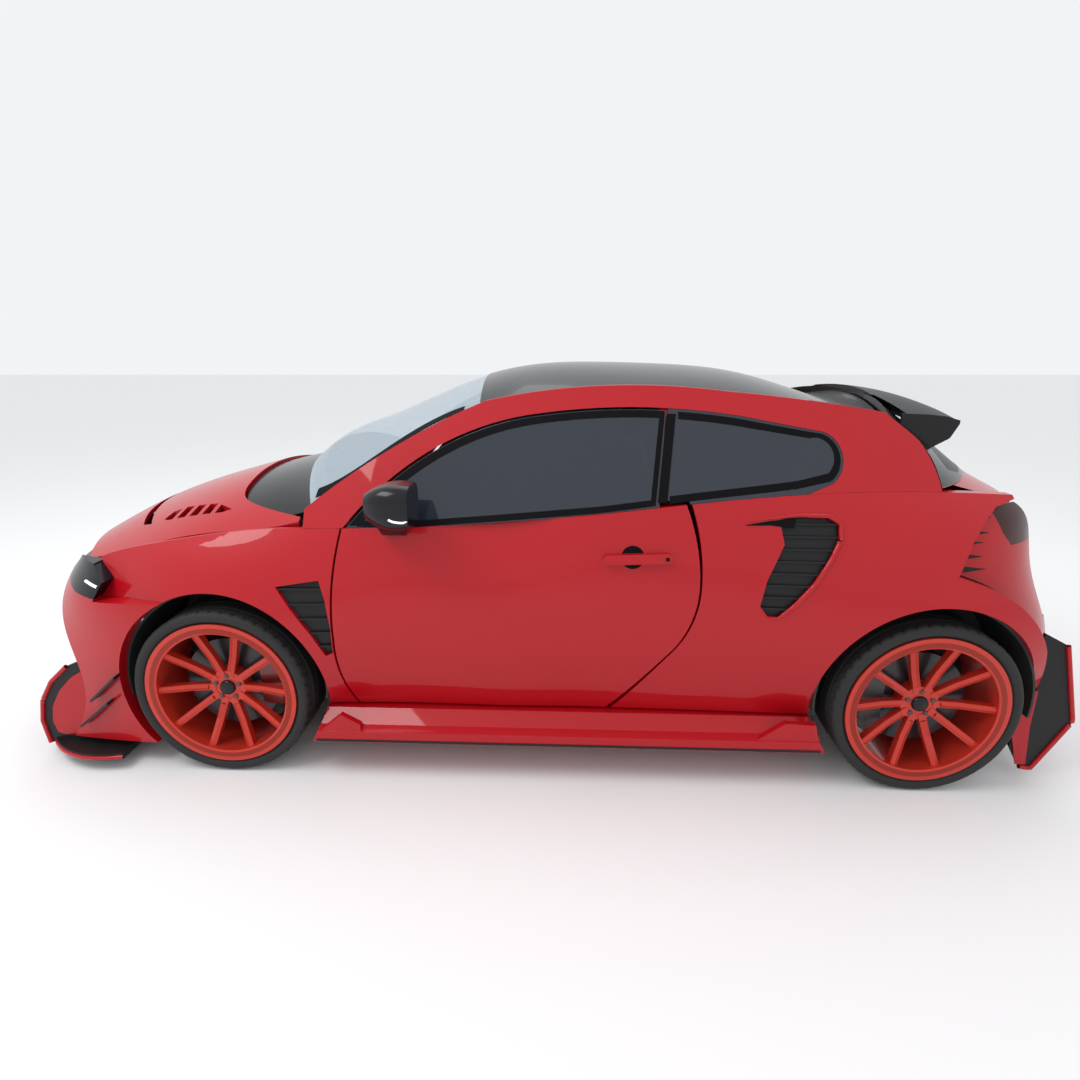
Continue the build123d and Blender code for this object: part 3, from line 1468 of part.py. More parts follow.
with BuildPart() as exhaust:
    with BuildSketch(Plane.XY.offset(BOOT_FLOOR - SEAM)):
        with Locations((rear(250), 0)):
            RectangleRounded(180, 620, 60)
    extrude(amount=-120)
    with BuildSketch(across(rear(330))):
        with Locations((-TIP_SIDE, TIP_HEIGHT), (TIP_SIDE, TIP_HEIGHT)):
            Circle(TIP_RADIUS)
            Circle(TIP_RADIUS - 5, mode=Mode.SUBTRACT)
    extrude(amount=250)
exhaust.part.label = "exhaust"
export_step(exhaust.part, "parts/exhaust.step")

# Cabin: two front seats, a rear bench, the dashboard and the steering wheel.
SEAT_BASE = FLOOR_LOW + FLOOR_WALL + SEAM
with BuildPart() as front_seats:
    for side in (-1, 1):
        with BuildSketch(along(side * SEAT_OFFSET - SEAT_WIDTH / 2)):
            with BuildLine():
                Line((front(1120), SEAT_BASE), (front(1500), SEAT_BASE))
                Line((front(1500), SEAT_BASE), (front(1560), 360))
                Line((front(1560), 360), (front(1760), 900))
                ThreePointArc((front(1760), 900), (front(1755), 950), (front(1712), 950))
                Line((front(1712), 950), (front(1500), 470))
                Line((front(1500), 470), (front(1080), 510))
                ThreePointArc((front(1080), 510), (front(1040), 470), (front(1060), 420))
                Line((front(1060), 420), (front(1120), SEAT_BASE))
            make_face()
        extrude(amount=-SEAT_WIDTH)
        with BuildSketch(along(side * SEAT_OFFSET - 130)):
            with BuildLine():
                Polyline(
                    (front(1690), 900), (front(1722), 1090), (front(1800), 1080), (front(1790), 960),
                    (front(1760), 890),
                    close=True,
                )
            make_face()
        extrude(amount=-260)
    fillet(front_seats.edges().filter_by(GeomType.LINE).filter_by(Axis.Y).group_by(Axis.Z)[-1], 20)
front_seats.part.label = "front_seats"
export_step(front_seats.part, "parts/front_seats.step")

BENCH_HALF = 540.0
with BuildPart() as rear_bench:
    with BuildSketch(along(-BENCH_HALF)):
        with BuildLine():
            Polyline(
                (rear(-700), SEAT_BASE),
                (rear(-490), SEAT_BASE),
                (rear(-360), BOOT_FLOOR + FLOOR_WALL + SEAM),
                (rear(-230), BOOT_FLOOR + FLOOR_WALL + SEAM),
                (rear(-90), 930),
                (rear(-170), 950),
                (rear(-330), 480),
                (rear(-740), 500),
                (rear(-760), 440),
                close=True,
            )
        make_face()
    extrude(amount=-2 * BENCH_HALF)
rear_bench.part.label = "rear_bench"
export_step(rear_bench.part, "parts/rear_bench.step")

DASH_HALF = 640.0
with BuildPart() as dashboard:
    with BuildSketch(along(-DASH_HALF)):
        with BuildLine():
            Line((front(FIREWALL), 600), (front(FIREWALL), 860))
            ThreePointArc((front(FIREWALL), 860), (front(660), 905), (front(800), 880))
            ThreePointArc((front(800), 880), (front(870), 800), (front(840), 700))
            Polyline((front(840), 700), (front(700), 600), (front(FIREWALL), 600))
        make_face()
    extrude(amount=-2 * DASH_HALF)
    with BuildSketch(along(-TUNNEL_HALF)):
        with BuildLine():
            Polyline(
                (front(700), 400), (front(700), 660), (front(830), 700), (front(960), 480),
                (front(960), 400), close=True
            )
        make_face()
    extrude(amount=-2 * TUNNEL_HALF)
dashboard.part.label = "dashboard"
export_step(dashboard.part, "parts/dashboard.step")

WHEEL_RIM = 178.0
WHEEL_GRIP = 15.0
COLUMN_TILT = 24.0
column = Plane(origin=(front(960), -SEAT_OFFSET, 800), z_dir=(1, 0, 0)).rotated((0, -COLUMN_TILT, 0))
with BuildPart() as steering_wheel:
    with BuildSketch(Plane(origin=column.origin, x_dir=column.x_dir, z_dir=column.y_dir)):
        with Locations((WHEEL_RIM, 0)):
            Circle(WHEEL_GRIP)
    revolve(axis=Axis(column.origin, column.z_dir))
    with BuildSketch(column):
        Circle(60)
        Rectangle(2 * WHEEL_RIM, 34)
        with Locations((WHEEL_RIM / 2, 0)):
            Rectangle(WHEEL_RIM, 40)
    extrude(amount=12, both=True)
    with BuildSketch(column):
        Circle(28)
    extrude(amount=-160)
    add(dashboard.part, mode=Mode.SUBTRACT)
steering_wheel.part.label = "steering_wheel"
export_step(steering_wheel.part, "parts/steering_wheel.step")

# Door furniture: a mirror on a foot at the front of the window, and a bar handle over a round recess.
MIRROR_OUT = 885.0
with BuildPart() as mirror_left:
    for dx, width, height in ((618, 96, 84), (660, 150, 128), (770, 164, 140)):
        with BuildSketch(across(front(dx))):
            with Locations((-MIRROR_OUT, 1066)):
                RectangleRounded(width, height, height * 0.35)
    loft()
    with BuildSketch(across(front(640))):
        with BuildLine():
            y_foot, z_foot = belt_at(front(720))
            Polyline(
                (40 - y_foot, z_foot - 20), (40 - y_foot, 1010), (-MIRROR_OUT, 1050),
                (-MIRROR_OUT - 20, 1010),
                (-y_foot - 34, z_foot - 20), close=True,
            )
        make_face()
    extrude(amount=80)
    add(side_strip(-SEAM, DOOR_WALL), mode=Mode.SUBTRACT)
    add(cabin_strip(2 - SEAM, DOOR_WALL), mode=Mode.SUBTRACT)
mirror_left.part.label = "mirror_left"
export_step(mirror_left.part, "parts/mirror_left.step")

with BuildPart() as mirror_right:
    mirror(mirror_left.part, about=Plane.XZ)
mirror_right.part.label = "mirror_right"
export_step(mirror_right.part, "parts/mirror_right.step")

HANDLE_OUT = 20.0
with BuildPart() as door_handle_left:
    add(side_strip(-HANDLE_OUT, -SEAM))
    with BuildSketch(along(-FAR)):
        with Locations((rear(-1037), 872)):
            SlotOverall(236, 34, rotation=2)
    extrude(amount=-FAR, mode=Mode.INTERSECT)
door_handle_left.part.label = "door_handle_left"
export_step(door_handle_left.part, "parts/door_handle_left.step")

with BuildPart() as door_handle_right:
    mirror(door_handle_left.part, about=Plane.XZ)
door_handle_right.part.label = "door_handle_right"
export_step(door_handle_right.part, "parts/door_handle_right.step")
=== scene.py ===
# %% [markdown]
# # A wide-arched hatchback, dressed
# The solids come packed and fixed, in metres: nose towards -X, left side towards -Y, the ground at z = 0.
# This script gives every surface its finish and adds what is too fine for the solids.

# %% The frame
import json
import math
import bpy
import numpy as np
from mathutils import Matrix, Vector


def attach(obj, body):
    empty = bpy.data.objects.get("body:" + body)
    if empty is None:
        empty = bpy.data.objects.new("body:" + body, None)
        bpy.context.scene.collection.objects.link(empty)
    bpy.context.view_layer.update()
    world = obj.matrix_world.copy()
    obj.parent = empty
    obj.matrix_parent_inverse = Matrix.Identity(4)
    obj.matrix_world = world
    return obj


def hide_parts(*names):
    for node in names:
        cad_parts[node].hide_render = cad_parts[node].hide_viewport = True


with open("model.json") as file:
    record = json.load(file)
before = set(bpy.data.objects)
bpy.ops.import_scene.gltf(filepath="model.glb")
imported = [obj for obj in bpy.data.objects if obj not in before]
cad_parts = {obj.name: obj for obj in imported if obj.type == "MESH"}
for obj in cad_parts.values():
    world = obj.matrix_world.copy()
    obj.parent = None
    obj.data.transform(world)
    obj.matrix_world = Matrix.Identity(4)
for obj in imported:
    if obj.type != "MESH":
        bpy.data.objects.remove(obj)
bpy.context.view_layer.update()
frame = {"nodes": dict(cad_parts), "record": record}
nodes = frame["nodes"]
HANDS = (("left", -1), ("right", 1))

# %% [markdown]
# ## Helpers
# A piece is a grid of points over two parameters, or several such grids in one mesh. A grid may close on
# itself along one of them, as a tyre does round its axle and a bar does round its path.

# %% Grids to meshes
ROUND_U = (True, False)
ROUND_V = (False, True)


def grid_faces(rows, cols, wrap_u=False, wrap_v=False):
    """Quads of a rows x cols grid, closed round u or v where asked."""
    u = np.arange(rows if wrap_u else rows - 1)
    v = np.arange(cols if wrap_v else cols - 1)
    i, j = np.meshgrid(u, v, indexing="ij")
    i2, j2 = (i + 1) % rows, (j + 1) % cols
    return np.stack([i * cols + j, i2 * cols + j, i2 * cols + j2, i * cols + j2], -1).reshape(-1, 4)


def piece(name, grids, material, body, smooth=True, wrap=(False, False)):
    """One mesh from a list of (rows, cols, 3) point arrays, riding on a body."""
    points, faces, base = [], [], 0
    for g in grids:
        rows, cols = g.shape[:2]
        points.append(g.reshape(-1, 3))
        faces.append(grid_faces(rows, cols, *wrap) + base)
        base += rows * cols
    mesh = bpy.data.meshes.new(name)
    mesh.from_pydata(np.concatenate(points).tolist(), [], np.concatenate(faces).tolist())
    mesh.polygons.foreach_set("use_smooth", np.full(len(mesh.polygons), smooth))
    mesh.materials.append(material)
    obj = bpy.data.objects.new(name, mesh)
    bpy.context.scene.collection.objects.link(obj)
    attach(obj, body)
    return obj


def both_sides(make, name):
    """Calls make(name, hand, side) with side -1 for the left and 1 for the right."""
    for hand, side in HANDS:
        make(f"{name}_{hand}", hand, side)


print("quads of a 3 x 3 grid", len(grid_faces(3, 3)), "and closed round u", len(grid_faces(3, 3, True)))

# %% [markdown]
# ## Finishes
# Each is a principled surface; the paint carries a clear coat, and glass lets some light through. Paint,
# black trim and lamps have a low specular level, because the pale studio would wash them out.


# %% Materials
def finish_of(name, color, rough=0.5, metal=0.0, coat=0.0, coat_rough=0.03, alpha=1.0, glow=0.0, spec=0.5):
    """A plain principled material."""
    made = bpy.data.materials.new(name)
    made.use_nodes = True
    shader = made.node_tree.nodes["Principled BSDF"]
    shader.inputs["Base Color"].default_value = (*color, 1)
    shader.inputs["Roughness"].default_value = rough
    shader.inputs["Metallic"].default_value = metal
    shader.inputs["Coat Weight"].default_value = coat
    shader.inputs["Coat Roughness"].default_value = coat_rough
    shader.inputs["Alpha"].default_value = alpha
    shader.inputs["Specular IOR Level"].default_value = spec
    if glow:
        shader.inputs["Emission Color"].default_value = (*color, 1)
        shader.inputs["Emission Strength"].default_value = glow
    return made


FINISH = {
    "body_paint": finish_of("paint", (0.44, 0.003, 0.009), rough=0.42, coat=0.60, spec=0.12),
    "gloss_black": finish_of("gloss_black", (0.006, 0.006, 0.008), rough=0.25, coat=0.30, spec=0.2),
    "satin_black": finish_of("satin_black", (0.010, 0.010, 0.011), rough=0.45, spec=0.3),
    "clear_glass": finish_of("clear_glass", (0.55, 0.66, 0.74), rough=0.04, alpha=0.42, spec=1.0),
    "tinted_glass": finish_of("tinted_glass", (0.016, 0.021, 0.034), rough=0.04, coat=0.2, coat_rough=0.02,
                              alpha=0.93, spec=0.55),
    "lamp_glass": finish_of("lamp_glass", (0.005, 0.005, 0.007), rough=0.20, coat=0.10, spec=0.12),
    "tail_lens": finish_of("tail_lens", (0.045, 0.004, 0.005), rough=0.18, coat=0.2, coat_rough=0.05,
                           spec=0.2),
    "black_plastic": finish_of("black_plastic", (0.022, 0.022, 0.022), rough=0.65),
    "chassis_paint": finish_of("chassis_paint", (0.05, 0.05, 0.055), rough=0.7),
    "cast_iron": finish_of("cast_iron", (0.11, 0.11, 0.115), rough=0.55, metal=0.7),
    "caliper_paint": finish_of("caliper_paint", (0.16, 0.008, 0.010), rough=0.35, coat=0.6),
    "steel": finish_of("steel", (0.45, 0.45, 0.46), rough=0.32, metal=1.0),
    "seat_fabric": finish_of("seat_fabric", (0.03, 0.03, 0.034), rough=0.9),
    "wheel_paint": finish_of("wheel_paint", (0.56, 0.034, 0.018), rough=0.34, metal=0.25, coat=0.4,
                             coat_rough=0.12, spec=0.3),
    "tyre_rubber": finish_of("tyre_rubber", (0.014, 0.014, 0.014), rough=0.72),
}
WHITE = finish_of("lit_white", (0.85, 0.86, 0.88), rough=0.3, coat=0.5, coat_rough=0.05, glow=0.5)
# Black for the window borders and dark trim, and also for the painted shadow under the scoop's crease.
BORDER_AND_SHADOW = finish_of("border_and_shadow_black", (0.004, 0.004, 0.005), rough=0.6, spec=0.08)
for part in frame["record"]["subparts"]:
    own = nodes[part["node"]]
    own.data.materials.clear()
    own.data.materials.append(FINISH[part["material_slot"]])
print("finishes", len(FINISH))

# %% [markdown]
# The seat fabric gets a fine weave: noise at 600 cells to the metre bumps the surface by up to 1 mm, at low
# strength.

# %% Fabric weave
cloth_tree = FINISH["seat_fabric"].node_tree
weave_place = cloth_tree.nodes.new("ShaderNodeTexCoord")
weave = cloth_tree.nodes.new("ShaderNodeTexNoise")
weave.inputs["Scale"].default_value = 600
weave_bump = cloth_tree.nodes.new("ShaderNodeBump")
weave_bump.inputs["Strength"].default_value = 0.3
weave_bump.inputs["Distance"].default_value = 0.001
cloth_tree.links.new(weave_place.outputs["Object"], weave.inputs["Vector"])
cloth_tree.links.new(weave.outputs["Fac"], weave_bump.inputs["Height"])
cloth_tree.links.new(weave_bump.outputs["Normal"], cloth_tree.nodes["Principled BSDF"].inputs["Normal"])
print("fabric nodes", len(cloth_tree.nodes))

# %% [markdown]
# Two kinds of solid carry two finishes, split by where a point lies: the tailgate is black round its glass
# and red below, and a wheel is orange-red outside while its brake disc is dark iron. Object coordinates are
# metres of the frame.

# %% Finishes split by place
WHEEL_R = 0.330
AXLES = {"front": (-1.140, 0.872), "rear": (1.420, 0.887)}
WHEELS = [(end, hand, side) for end in AXLES for hand, side in HANDS]
DISC_R = 0.183
DISC_DEPTH = 0.1085
GATE_SPLIT_Z = 1.098


def node_math(tree, kind, a, b=None):
    """One math node; a and b are sockets or numbers."""
    made = tree.nodes.new("ShaderNodeMath")
    made.operation = kind
    for spot, value in zip(made.inputs, (a, b)):
        if value is None:
            continue
        if isinstance(value, (int, float)):
            spot.default_value = value
        else:
            tree.links.new(value, spot)
    return made.outputs[0]


def split_finish(name, base, color, rough, metal, mask_of):
    """A copy of a finish that turns to another colour where mask_of(tree, x, y, z) is 1."""
    made = FINISH[base].copy()
    made.name = name
    tree = made.node_tree
    shader = tree.nodes["Principled BSDF"]
    place = tree.nodes.new("ShaderNodeTexCoord")
    axes = tree.nodes.new("ShaderNodeSeparateXYZ")
    tree.links.new(place.outputs["Object"], axes.inputs[0])
    mask = mask_of(tree, *axes.outputs)
    for spot, other in (("Base Color", (*color, 1)), ("Roughness", rough), ("Metallic", metal)):
        kind, socket = ("RGBA", "RGBA") if spot == "Base Color" else ("FLOAT", "VALUE")
        mix = tree.nodes.new("ShaderNodeMix")
        mix.data_type = kind
        ends = [p for p in mix.inputs if p.name in "AB" and p.type == socket]
        ends[0].default_value = shader.inputs[spot].default_value
        ends[1].default_value = other
        tree.links.new(mask, mix.inputs["Factor"])
        tree.links.new(next(p for p in mix.outputs if p.type == socket), shader.inputs[spot])
    return made


def disc_mask(axle, face):
    """1 on the brake disc: sqrt((x - axle)^2 + (z - WHEEL_R)^2) < DISC_R and face - |y| > DISC_DEPTH."""
    def mask(tree, x, y, z):
        """The same test as math nodes."""
        along = node_math(tree, "SUBTRACT", x, axle)
        up = node_math(tree, "SUBTRACT", z, WHEEL_R)
        along_squared = node_math(tree, "MULTIPLY", along, along)
        up_squared = node_math(tree, "MULTIPLY", up, up)
        radius = node_math(tree, "SQRT", node_math(tree, "ADD", along_squared, up_squared))
        depth = node_math(tree, "SUBTRACT", face, node_math(tree, "ABSOLUTE", y))
        deep = node_math(tree, "GREATER_THAN", depth, DISC_DEPTH)
        return node_math(tree, "MULTIPLY", node_math(tree, "LESS_THAN", radius, DISC_R), deep)
    return mask


def gate_mask(tree, x, y, z):
    """1 on the tailgate above the line where its black part begins."""
    return node_math(tree, "GREATER_THAN", z, GATE_SPLIT_Z)


SMOKED = finish_of("smoked_glass", (0.010, 0.012, 0.018), rough=0.30, alpha=0.97, spec=0.06)
nodes["tailgate_glass"].data.materials[0] = SMOKED
gate = split_finish("gate_paint", "body_paint", (0.006, 0.006, 0.007), 0.45, 0.0, gate_mask)
nodes["tailgate"].data.materials[0] = gate
for end, (axle, face) in AXLES.items():
    disc = disc_mask(axle, face)
    dressed = split_finish("wheel_" + end, "wheel_paint", (0.05, 0.05, 0.055), 0.4, 0.8, disc)
    for hand, side in HANDS:
        nodes[f"wheel_{end}_{hand}"].data.materials[0] = dressed
print("split finishes", gate.name, [f"wheel_{end}" for end in AXLES])

# %% [markdown]
# ## Curves and skins
# Small pieces lie on the solids, so their height over the skin is read off the skin itself: a polynomial is
# fitted to the outward-facing points of a node, and the piece is laid a little above it.


# %% Skins
def outer_points(node, axis, sign):
    """Corners of the triangles of a node that face along an axis."""
    mesh = nodes[node].data
    normal = np.zeros(len(mesh.polygons) * 3)
    mesh.polygons.foreach_get("normal", normal)
    corner = np.zeros(len(mesh.loops), int)
    mesh.loops.foreach_get("vertex_index", corner)
    co = np.zeros(len(mesh.vertices) * 3)
    mesh.vertices.foreach_get("co", co)
    keep = normal.reshape(-1, 3)[:, axis] * sign > 0.5
    return co.reshape(-1, 3)[corner.reshape(-1, 3)[keep].ravel()]


def terms(a, b, order):
    """The polynomial's terms, a^i * b^j with i and j below the two numbers of order."""
    return np.stack([a**i * b**j for i in range(order[0]) for j in range(order[1])], -1)


def skin(points, a, b, out, order=(4, 3)):
    """The function out(a, b) fitted to points; a, b and out are axis numbers."""
    pick = np.linalg.lstsq(terms(points[:, a], points[:, b], order), points[:, out], rcond=None)[0]
    return lambda u, v: terms(u, v, order) @ pick


def side_skin(node, low, high, order=(5, 4)):
    """The outer skin |y|(x, z) of a node's left side within a side-view box."""
    p = outer_points(node, 1, -1)
    p = p[(p[:, 1] < -0.5) & (p[:, [0, 2]] > low).all(1) & (p[:, [0, 2]] < high).all(1)]
    return skin(p * [1, -1, 1], 0, 2, 1, order)


quarter_y = side_skin("quarter_panels", (0.62, 0.60), (1.20, 1.08))
door_y = side_skin("door_left", (0.10, 0.70), (0.60, 1.00), (3, 3))
print("half width at the scoop", round(float(quarter_y(0.95, 0.85)), 3), "at the handle",
      round(float(door_y(0.367, 0.874)), 3))

# %% [markdown]
# Lines come as arcs through three points or as corners joined by straight runs. A line becomes a round bar,
# or two of them become the edges of a strip laid on a skin.


# %% Curves
def arc3(p, q, r, n=16):
    """n points on the circle through three points of a plane, from p to r."""
    p, q, r = (np.array(v, float) for v in (p, q, r))
    m = 2 * np.array([q - p, r - p])
    c = np.linalg.solve(m, [q @ q - p @ p, r @ r - p @ p])
    a0, a1, a2 = (math.atan2(*(v - c)[::-1]) for v in (p, q, r))
    turn = (a2 - a0) % (2 * math.pi)
    if (a1 - a0) % (2 * math.pi) > turn:
        turn -= 2 * math.pi
    a = a0 + turn * np.linspace(0, 1, n)
    return c + np.linalg.norm(p - c) * np.stack([np.cos(a), np.sin(a)], -1)


def along_line(edge, n):
    """n points spaced evenly along a line of corners."""
    edge = np.asarray(edge, float)
    at = np.cumsum(np.r_[0, np.linalg.norm(np.diff(edge, axis=0), axis=1)])
    s = np.linspace(0, at[-1], n)
    return np.stack([np.interp(s, at, edge[:, k]) for k in range(edge.shape[1])], -1)


def tube(path, radius, n=10):
    """A round bar, path + radius * (cos a * one - sin a * two), with one and two square to the path.

    The radius may change along the path.
    """
    radius = np.broadcast_to(radius, len(path))[:, None, None]
    path = np.asarray(path, float)
    way = np.gradient(path, axis=0)
    way /= np.linalg.norm(way, axis=1, keepdims=True)
    ref = np.where(np.abs(way[:, 2:3]) > 0.9, [[1.0, 0, 0]], [[0, 0, 1.0]])
    one = np.cross(way, ref)
    one /= np.linalg.norm(one, axis=1, keepdims=True)
    two = np.cross(way, one)
    a = np.linspace(0, 2 * math.pi, n, endpoint=False)[None, :, None]
    return path[:, None] + radius * (np.cos(a) * one[:, None] - np.sin(a) * two[:, None])


def band(name, edge_a, edge_b, height, side, body, over=0.0015, steps=5):
    """A thin black strip between two side-view edges, at y = side * (height(x, z) + over)."""
    t = np.linspace(0, 1, steps)[None, :, None]
    xz = edge_a[:, None] * (1 - t) + edge_b[:, None] * t
    y = side * (height(xz[..., 0], xz[..., 1]) + over)
    g = np.stack([xz[..., 0], y, xz[..., 1]], -1)
    return piece(name, [g if side < 0 else g[::-1]], BORDER_AND_SHADOW, body)


print("points of a half circle", len(arc3((1, 0), (0, 1), (-1, 0))))

# %% [markdown]
# ## Black window surround
# The side glass has a painted border. It lies on the glass: the front part moves with the door, the rear
# part stays. Its outer and inner edges are the window's outline drawn in by two different amounts.

# %% Window outline
glass_points = np.concatenate([outer_points(n, 1, -1) for n in ("door_glass_left", "quarter_glass")])
glass_points = glass_points[glass_points[:, 1] < 0]
glass_points[:, 1] *= -1
glass_y = skin(glass_points, 0, 2, 1)
BELT = np.array([(-0.652, 0.949), (-0.445, 0.948), (-0.092, 0.978), (0.253, 1.010), (0.591, 1.054),
                 (0.893, 1.088), (1.029, 1.113)])
CROWN = np.array([(0.039, 1.338), (0.390, 1.361), (0.738, 1.334)])


def belt(x):
    """The height of the belt line at x."""
    return np.interp(x, BELT[:, 0], BELT[:, 1])


def bar_x(z):
    """The centre pillar's line in side view."""
    return 0.450 + (z - 1.043) * 0.127


def bar_line(z, back):
    """Side-view points at heights z, set back from the centre pillar's line."""
    return np.stack([bar_x(z) + back, z], -1)


def crown(inset, n):
    """The arc along the roof, drawn in by inset."""
    return arc3(*(CROWN - [0, inset]), n)


def window_front(inset):
    """The upper edge of the door's glass, from the belt up and back to the pillar."""
    foot, mid = (-0.694 + 1.6 * inset, 0.900), (-0.318 + 0.5 * inset, 1.229 - inset)
    rise = arc3(foot, mid, CROWN[0] - [0, inset], 40)
    fine = along_line(np.concatenate([rise, crown(inset, 40)[1:]]), 400)
    fine = fine[(fine[:, 1] > belt(fine[:, 0]) + 0.012) & (fine[:, 0] < bar_x(fine[:, 1]) - 0.008)]
    return fine[np.linspace(0, len(fine) - 1, 60).astype(int)]


def window_rear(inset):
    """The edge of the rear quarter's glass, from the pillar back and down to the belt."""
    top = crown(inset, 60)
    top = top[top[:, 0] > bar_x(top[:, 1]) + 0.03]
    corner = np.array([(1.001 - 0.7 * inset, 1.286 - 0.7 * inset)])
    tail = arc3(corner[0], (1.086 - inset, 1.176), (1.045 - 0.4 * inset, 1.116 + inset), 24)
    foot = np.array([(0.920, 1.092 + inset), (0.60, 1.056 + inset), (0.49, 1.042 + inset)])
    return along_line(np.concatenate([top, corner, tail[1:], foot]), 120)


print("window outline", len(window_front(0)), "points at the door,", len(window_rear(0)), "at the quarter")

# %% [markdown]
# The door's border has three strips: the curved upper edge, one along the belt and one at the pillar. The
# quarter's has two, and its strip on the pillar stands a little higher.

# %% Window surround
EDGE_OUTER = 0.010
EDGE_INNER = 0.034


def door_border(name, hand, side):
    """The painted border of one door's glass."""
    body = f"{hand}_door"
    x = np.linspace(-0.60, 0.435, 40)
    low = np.stack([x, belt(x) + 0.010], -1)
    z = np.linspace(1.045, 1.345, 12)
    band(name, window_front(EDGE_OUTER), window_front(EDGE_INNER), glass_y, side, body)
    band(name + "_belt", low + [0, 0.020], low, glass_y, side, body)
    band(name + "_bar", bar_line(z, -0.026), bar_line(z, -0.008), glass_y, side, body)


def quarter_border(name, hand, side):
    """The painted border of one rear quarter's glass."""
    z = np.linspace(1.056, 1.340, 12)
    band(name, window_rear(EDGE_OUTER), window_rear(EDGE_INNER), glass_y, side, "car_body")
    band(name + "_bar", bar_line(z, -0.002), bar_line(z, 0.030), glass_y, side, "car_body", over=0.004)


both_sides(door_border, "door_glass_border")
both_sides(quarter_border, "quarter_glass_border")

# %% [markdown]
# ## Windscreen border
# The glass is dark along the pillars. Its height is fitted over x and y squared, because it is the same on
# both sides, and its half width is fitted over x.

# %% Windscreen border
screen = outer_points("windscreen", 2, 1)
screen_z = skin(np.c_[screen[:, 0], screen[:, 1] ** 2, screen[:, 2]], 0, 1, 2)
station_x = np.linspace(screen[:, 0].min() + 0.06, screen[:, 0].max() - 0.05, 12)
reach = np.array([np.abs(screen[np.abs(screen[:, 0] - x) < 0.05, 1]).max() for x in station_x])
half_of = np.poly1d(np.polyfit(station_x, reach, 3))
x = np.linspace(-0.790, -0.245, 50)[:, None]
inward = np.linspace(0.008, 0.052, 5)[None]
y = half_of(x) - inward
rim = np.stack([x + 0 * y, -y, screen_z(x + 0 * y, y**2) + 0.0015], -1)
piece("windscreen_border", [rim, (rim * [1, -1, 1])[::-1]], BORDER_AND_SHADOW, "car_body")
print("windscreen border points", 2 * rim.shape[0] * rim.shape[1])

# %% [markdown]
# ## Tyres
# A tyre follows the solid's section, swept round the axle. The tread is sunk: four grooves round it, and
# cross cuts at the shoulders, r = r0 - GROOVE_DEPTH * groove(d) - CUT_DEPTH * cut(angle, d).

# %% Tyres
TYRE_W = 0.245
BEAD, BEAD_R = 0.014, 0.254
WALL_R = 0.288
SHOULDER, SHOULDER_R = 0.028, 0.328
GROOVES = (0.058, 0.102, 0.143, 0.187)
GROOVE_HALF, GROOVE_DEPTH = 0.0045, 0.006
CUTS, CUT_LEAN, CUT_SHARE, CUT_DEPTH = 48, 6, 0.22, 0.005
section = np.concatenate([
    [(BEAD, BEAD_R)],
    arc3((BEAD, WALL_R), (0.001, 0.302), (SHOULDER, SHOULDER_R), 14),
    arc3((SHOULDER, SHOULDER_R), (TYRE_W / 2, WHEEL_R), (TYRE_W - SHOULDER, SHOULDER_R), 56)[1:],
    arc3((TYRE_W - SHOULDER, SHOULDER_R), (TYRE_W - 0.001, 0.302), (TYRE_W - BEAD, WALL_R), 14)[1:],
    [(TYRE_W - BEAD, BEAD_R)],
])
turn = np.linspace(0, 2 * math.pi, 288, endpoint=False)[:, None]


def tyre(end, hand, side):
    """One tyre: (x, z) = axle + ring * (cos turn, sin turn), with d counted from the outer wall inwards."""
    axle, face = AXLES[end]
    d, r = section[:, 0][None], section[:, 1][None]
    grooves = sum(np.abs(d - g) < GROOVE_HALF for g in GROOVES)
    shoulder = ((d > 0.012) & (d < 0.052)) | ((d > 0.193) & (d < 0.233))
    cuts = ((turn * CUTS / (2 * math.pi) + d * CUT_LEAN) % 1 < CUT_SHARE) & shoulder & (r > 0.312)
    ring = r - GROOVE_DEPTH * grooves - CUT_DEPTH * cuts + 0 * turn
    x, z = axle + ring * np.cos(turn), WHEEL_R + ring * np.sin(turn)
    g = np.stack([x, side * (face - d) + 0 * ring, z], -1)
    made = piece(f"tread_{end}_{hand}", [g if side > 0 else g[:, ::-1]], FINISH["tyre_rubber"],
                 f"{end}_{hand}_wheel", True, ROUND_U)
    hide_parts(f"tyre_{end}_{hand}")
    return made


print("tyres, with points", [len(tyre(*wheel).data.vertices) for wheel in WHEELS])

# %% [markdown]
# ## Wheel nuts and centre cap
# Turned profiles on the hub's front face, whose depth is read off the wheel.

# %% Wheel nuts
NUTS, NUT_RING, NUT_TURN = 5, 0.047, 0.3
CAP_PROFILE = [(0.0005, -0.012), (0.02, -0.011), (0.027, -0.008), (0.030, 0.004)]
NUT_PROFILE = [(0.0004, -0.006), (0.006, -0.006), (0.0085, -0.003), (0.0085, 0.004)]


def turned(centre, profile, side, n=20):
    """A profile of (radius r, depth d) turned about y: centre + (r cos a, -side * d, r sin a)."""
    a = np.linspace(0, 2 * math.pi, n, endpoint=False)[:, None]
    r, d = np.array(profile)[:, 0][None], np.array(profile)[:, 1][None]
    g = np.stack([centre[0] + r * np.cos(a), centre[1] - side * (0 * a + d), centre[2] + r * np.sin(a)], -1)
    return g if side > 0 else g[:, ::-1]


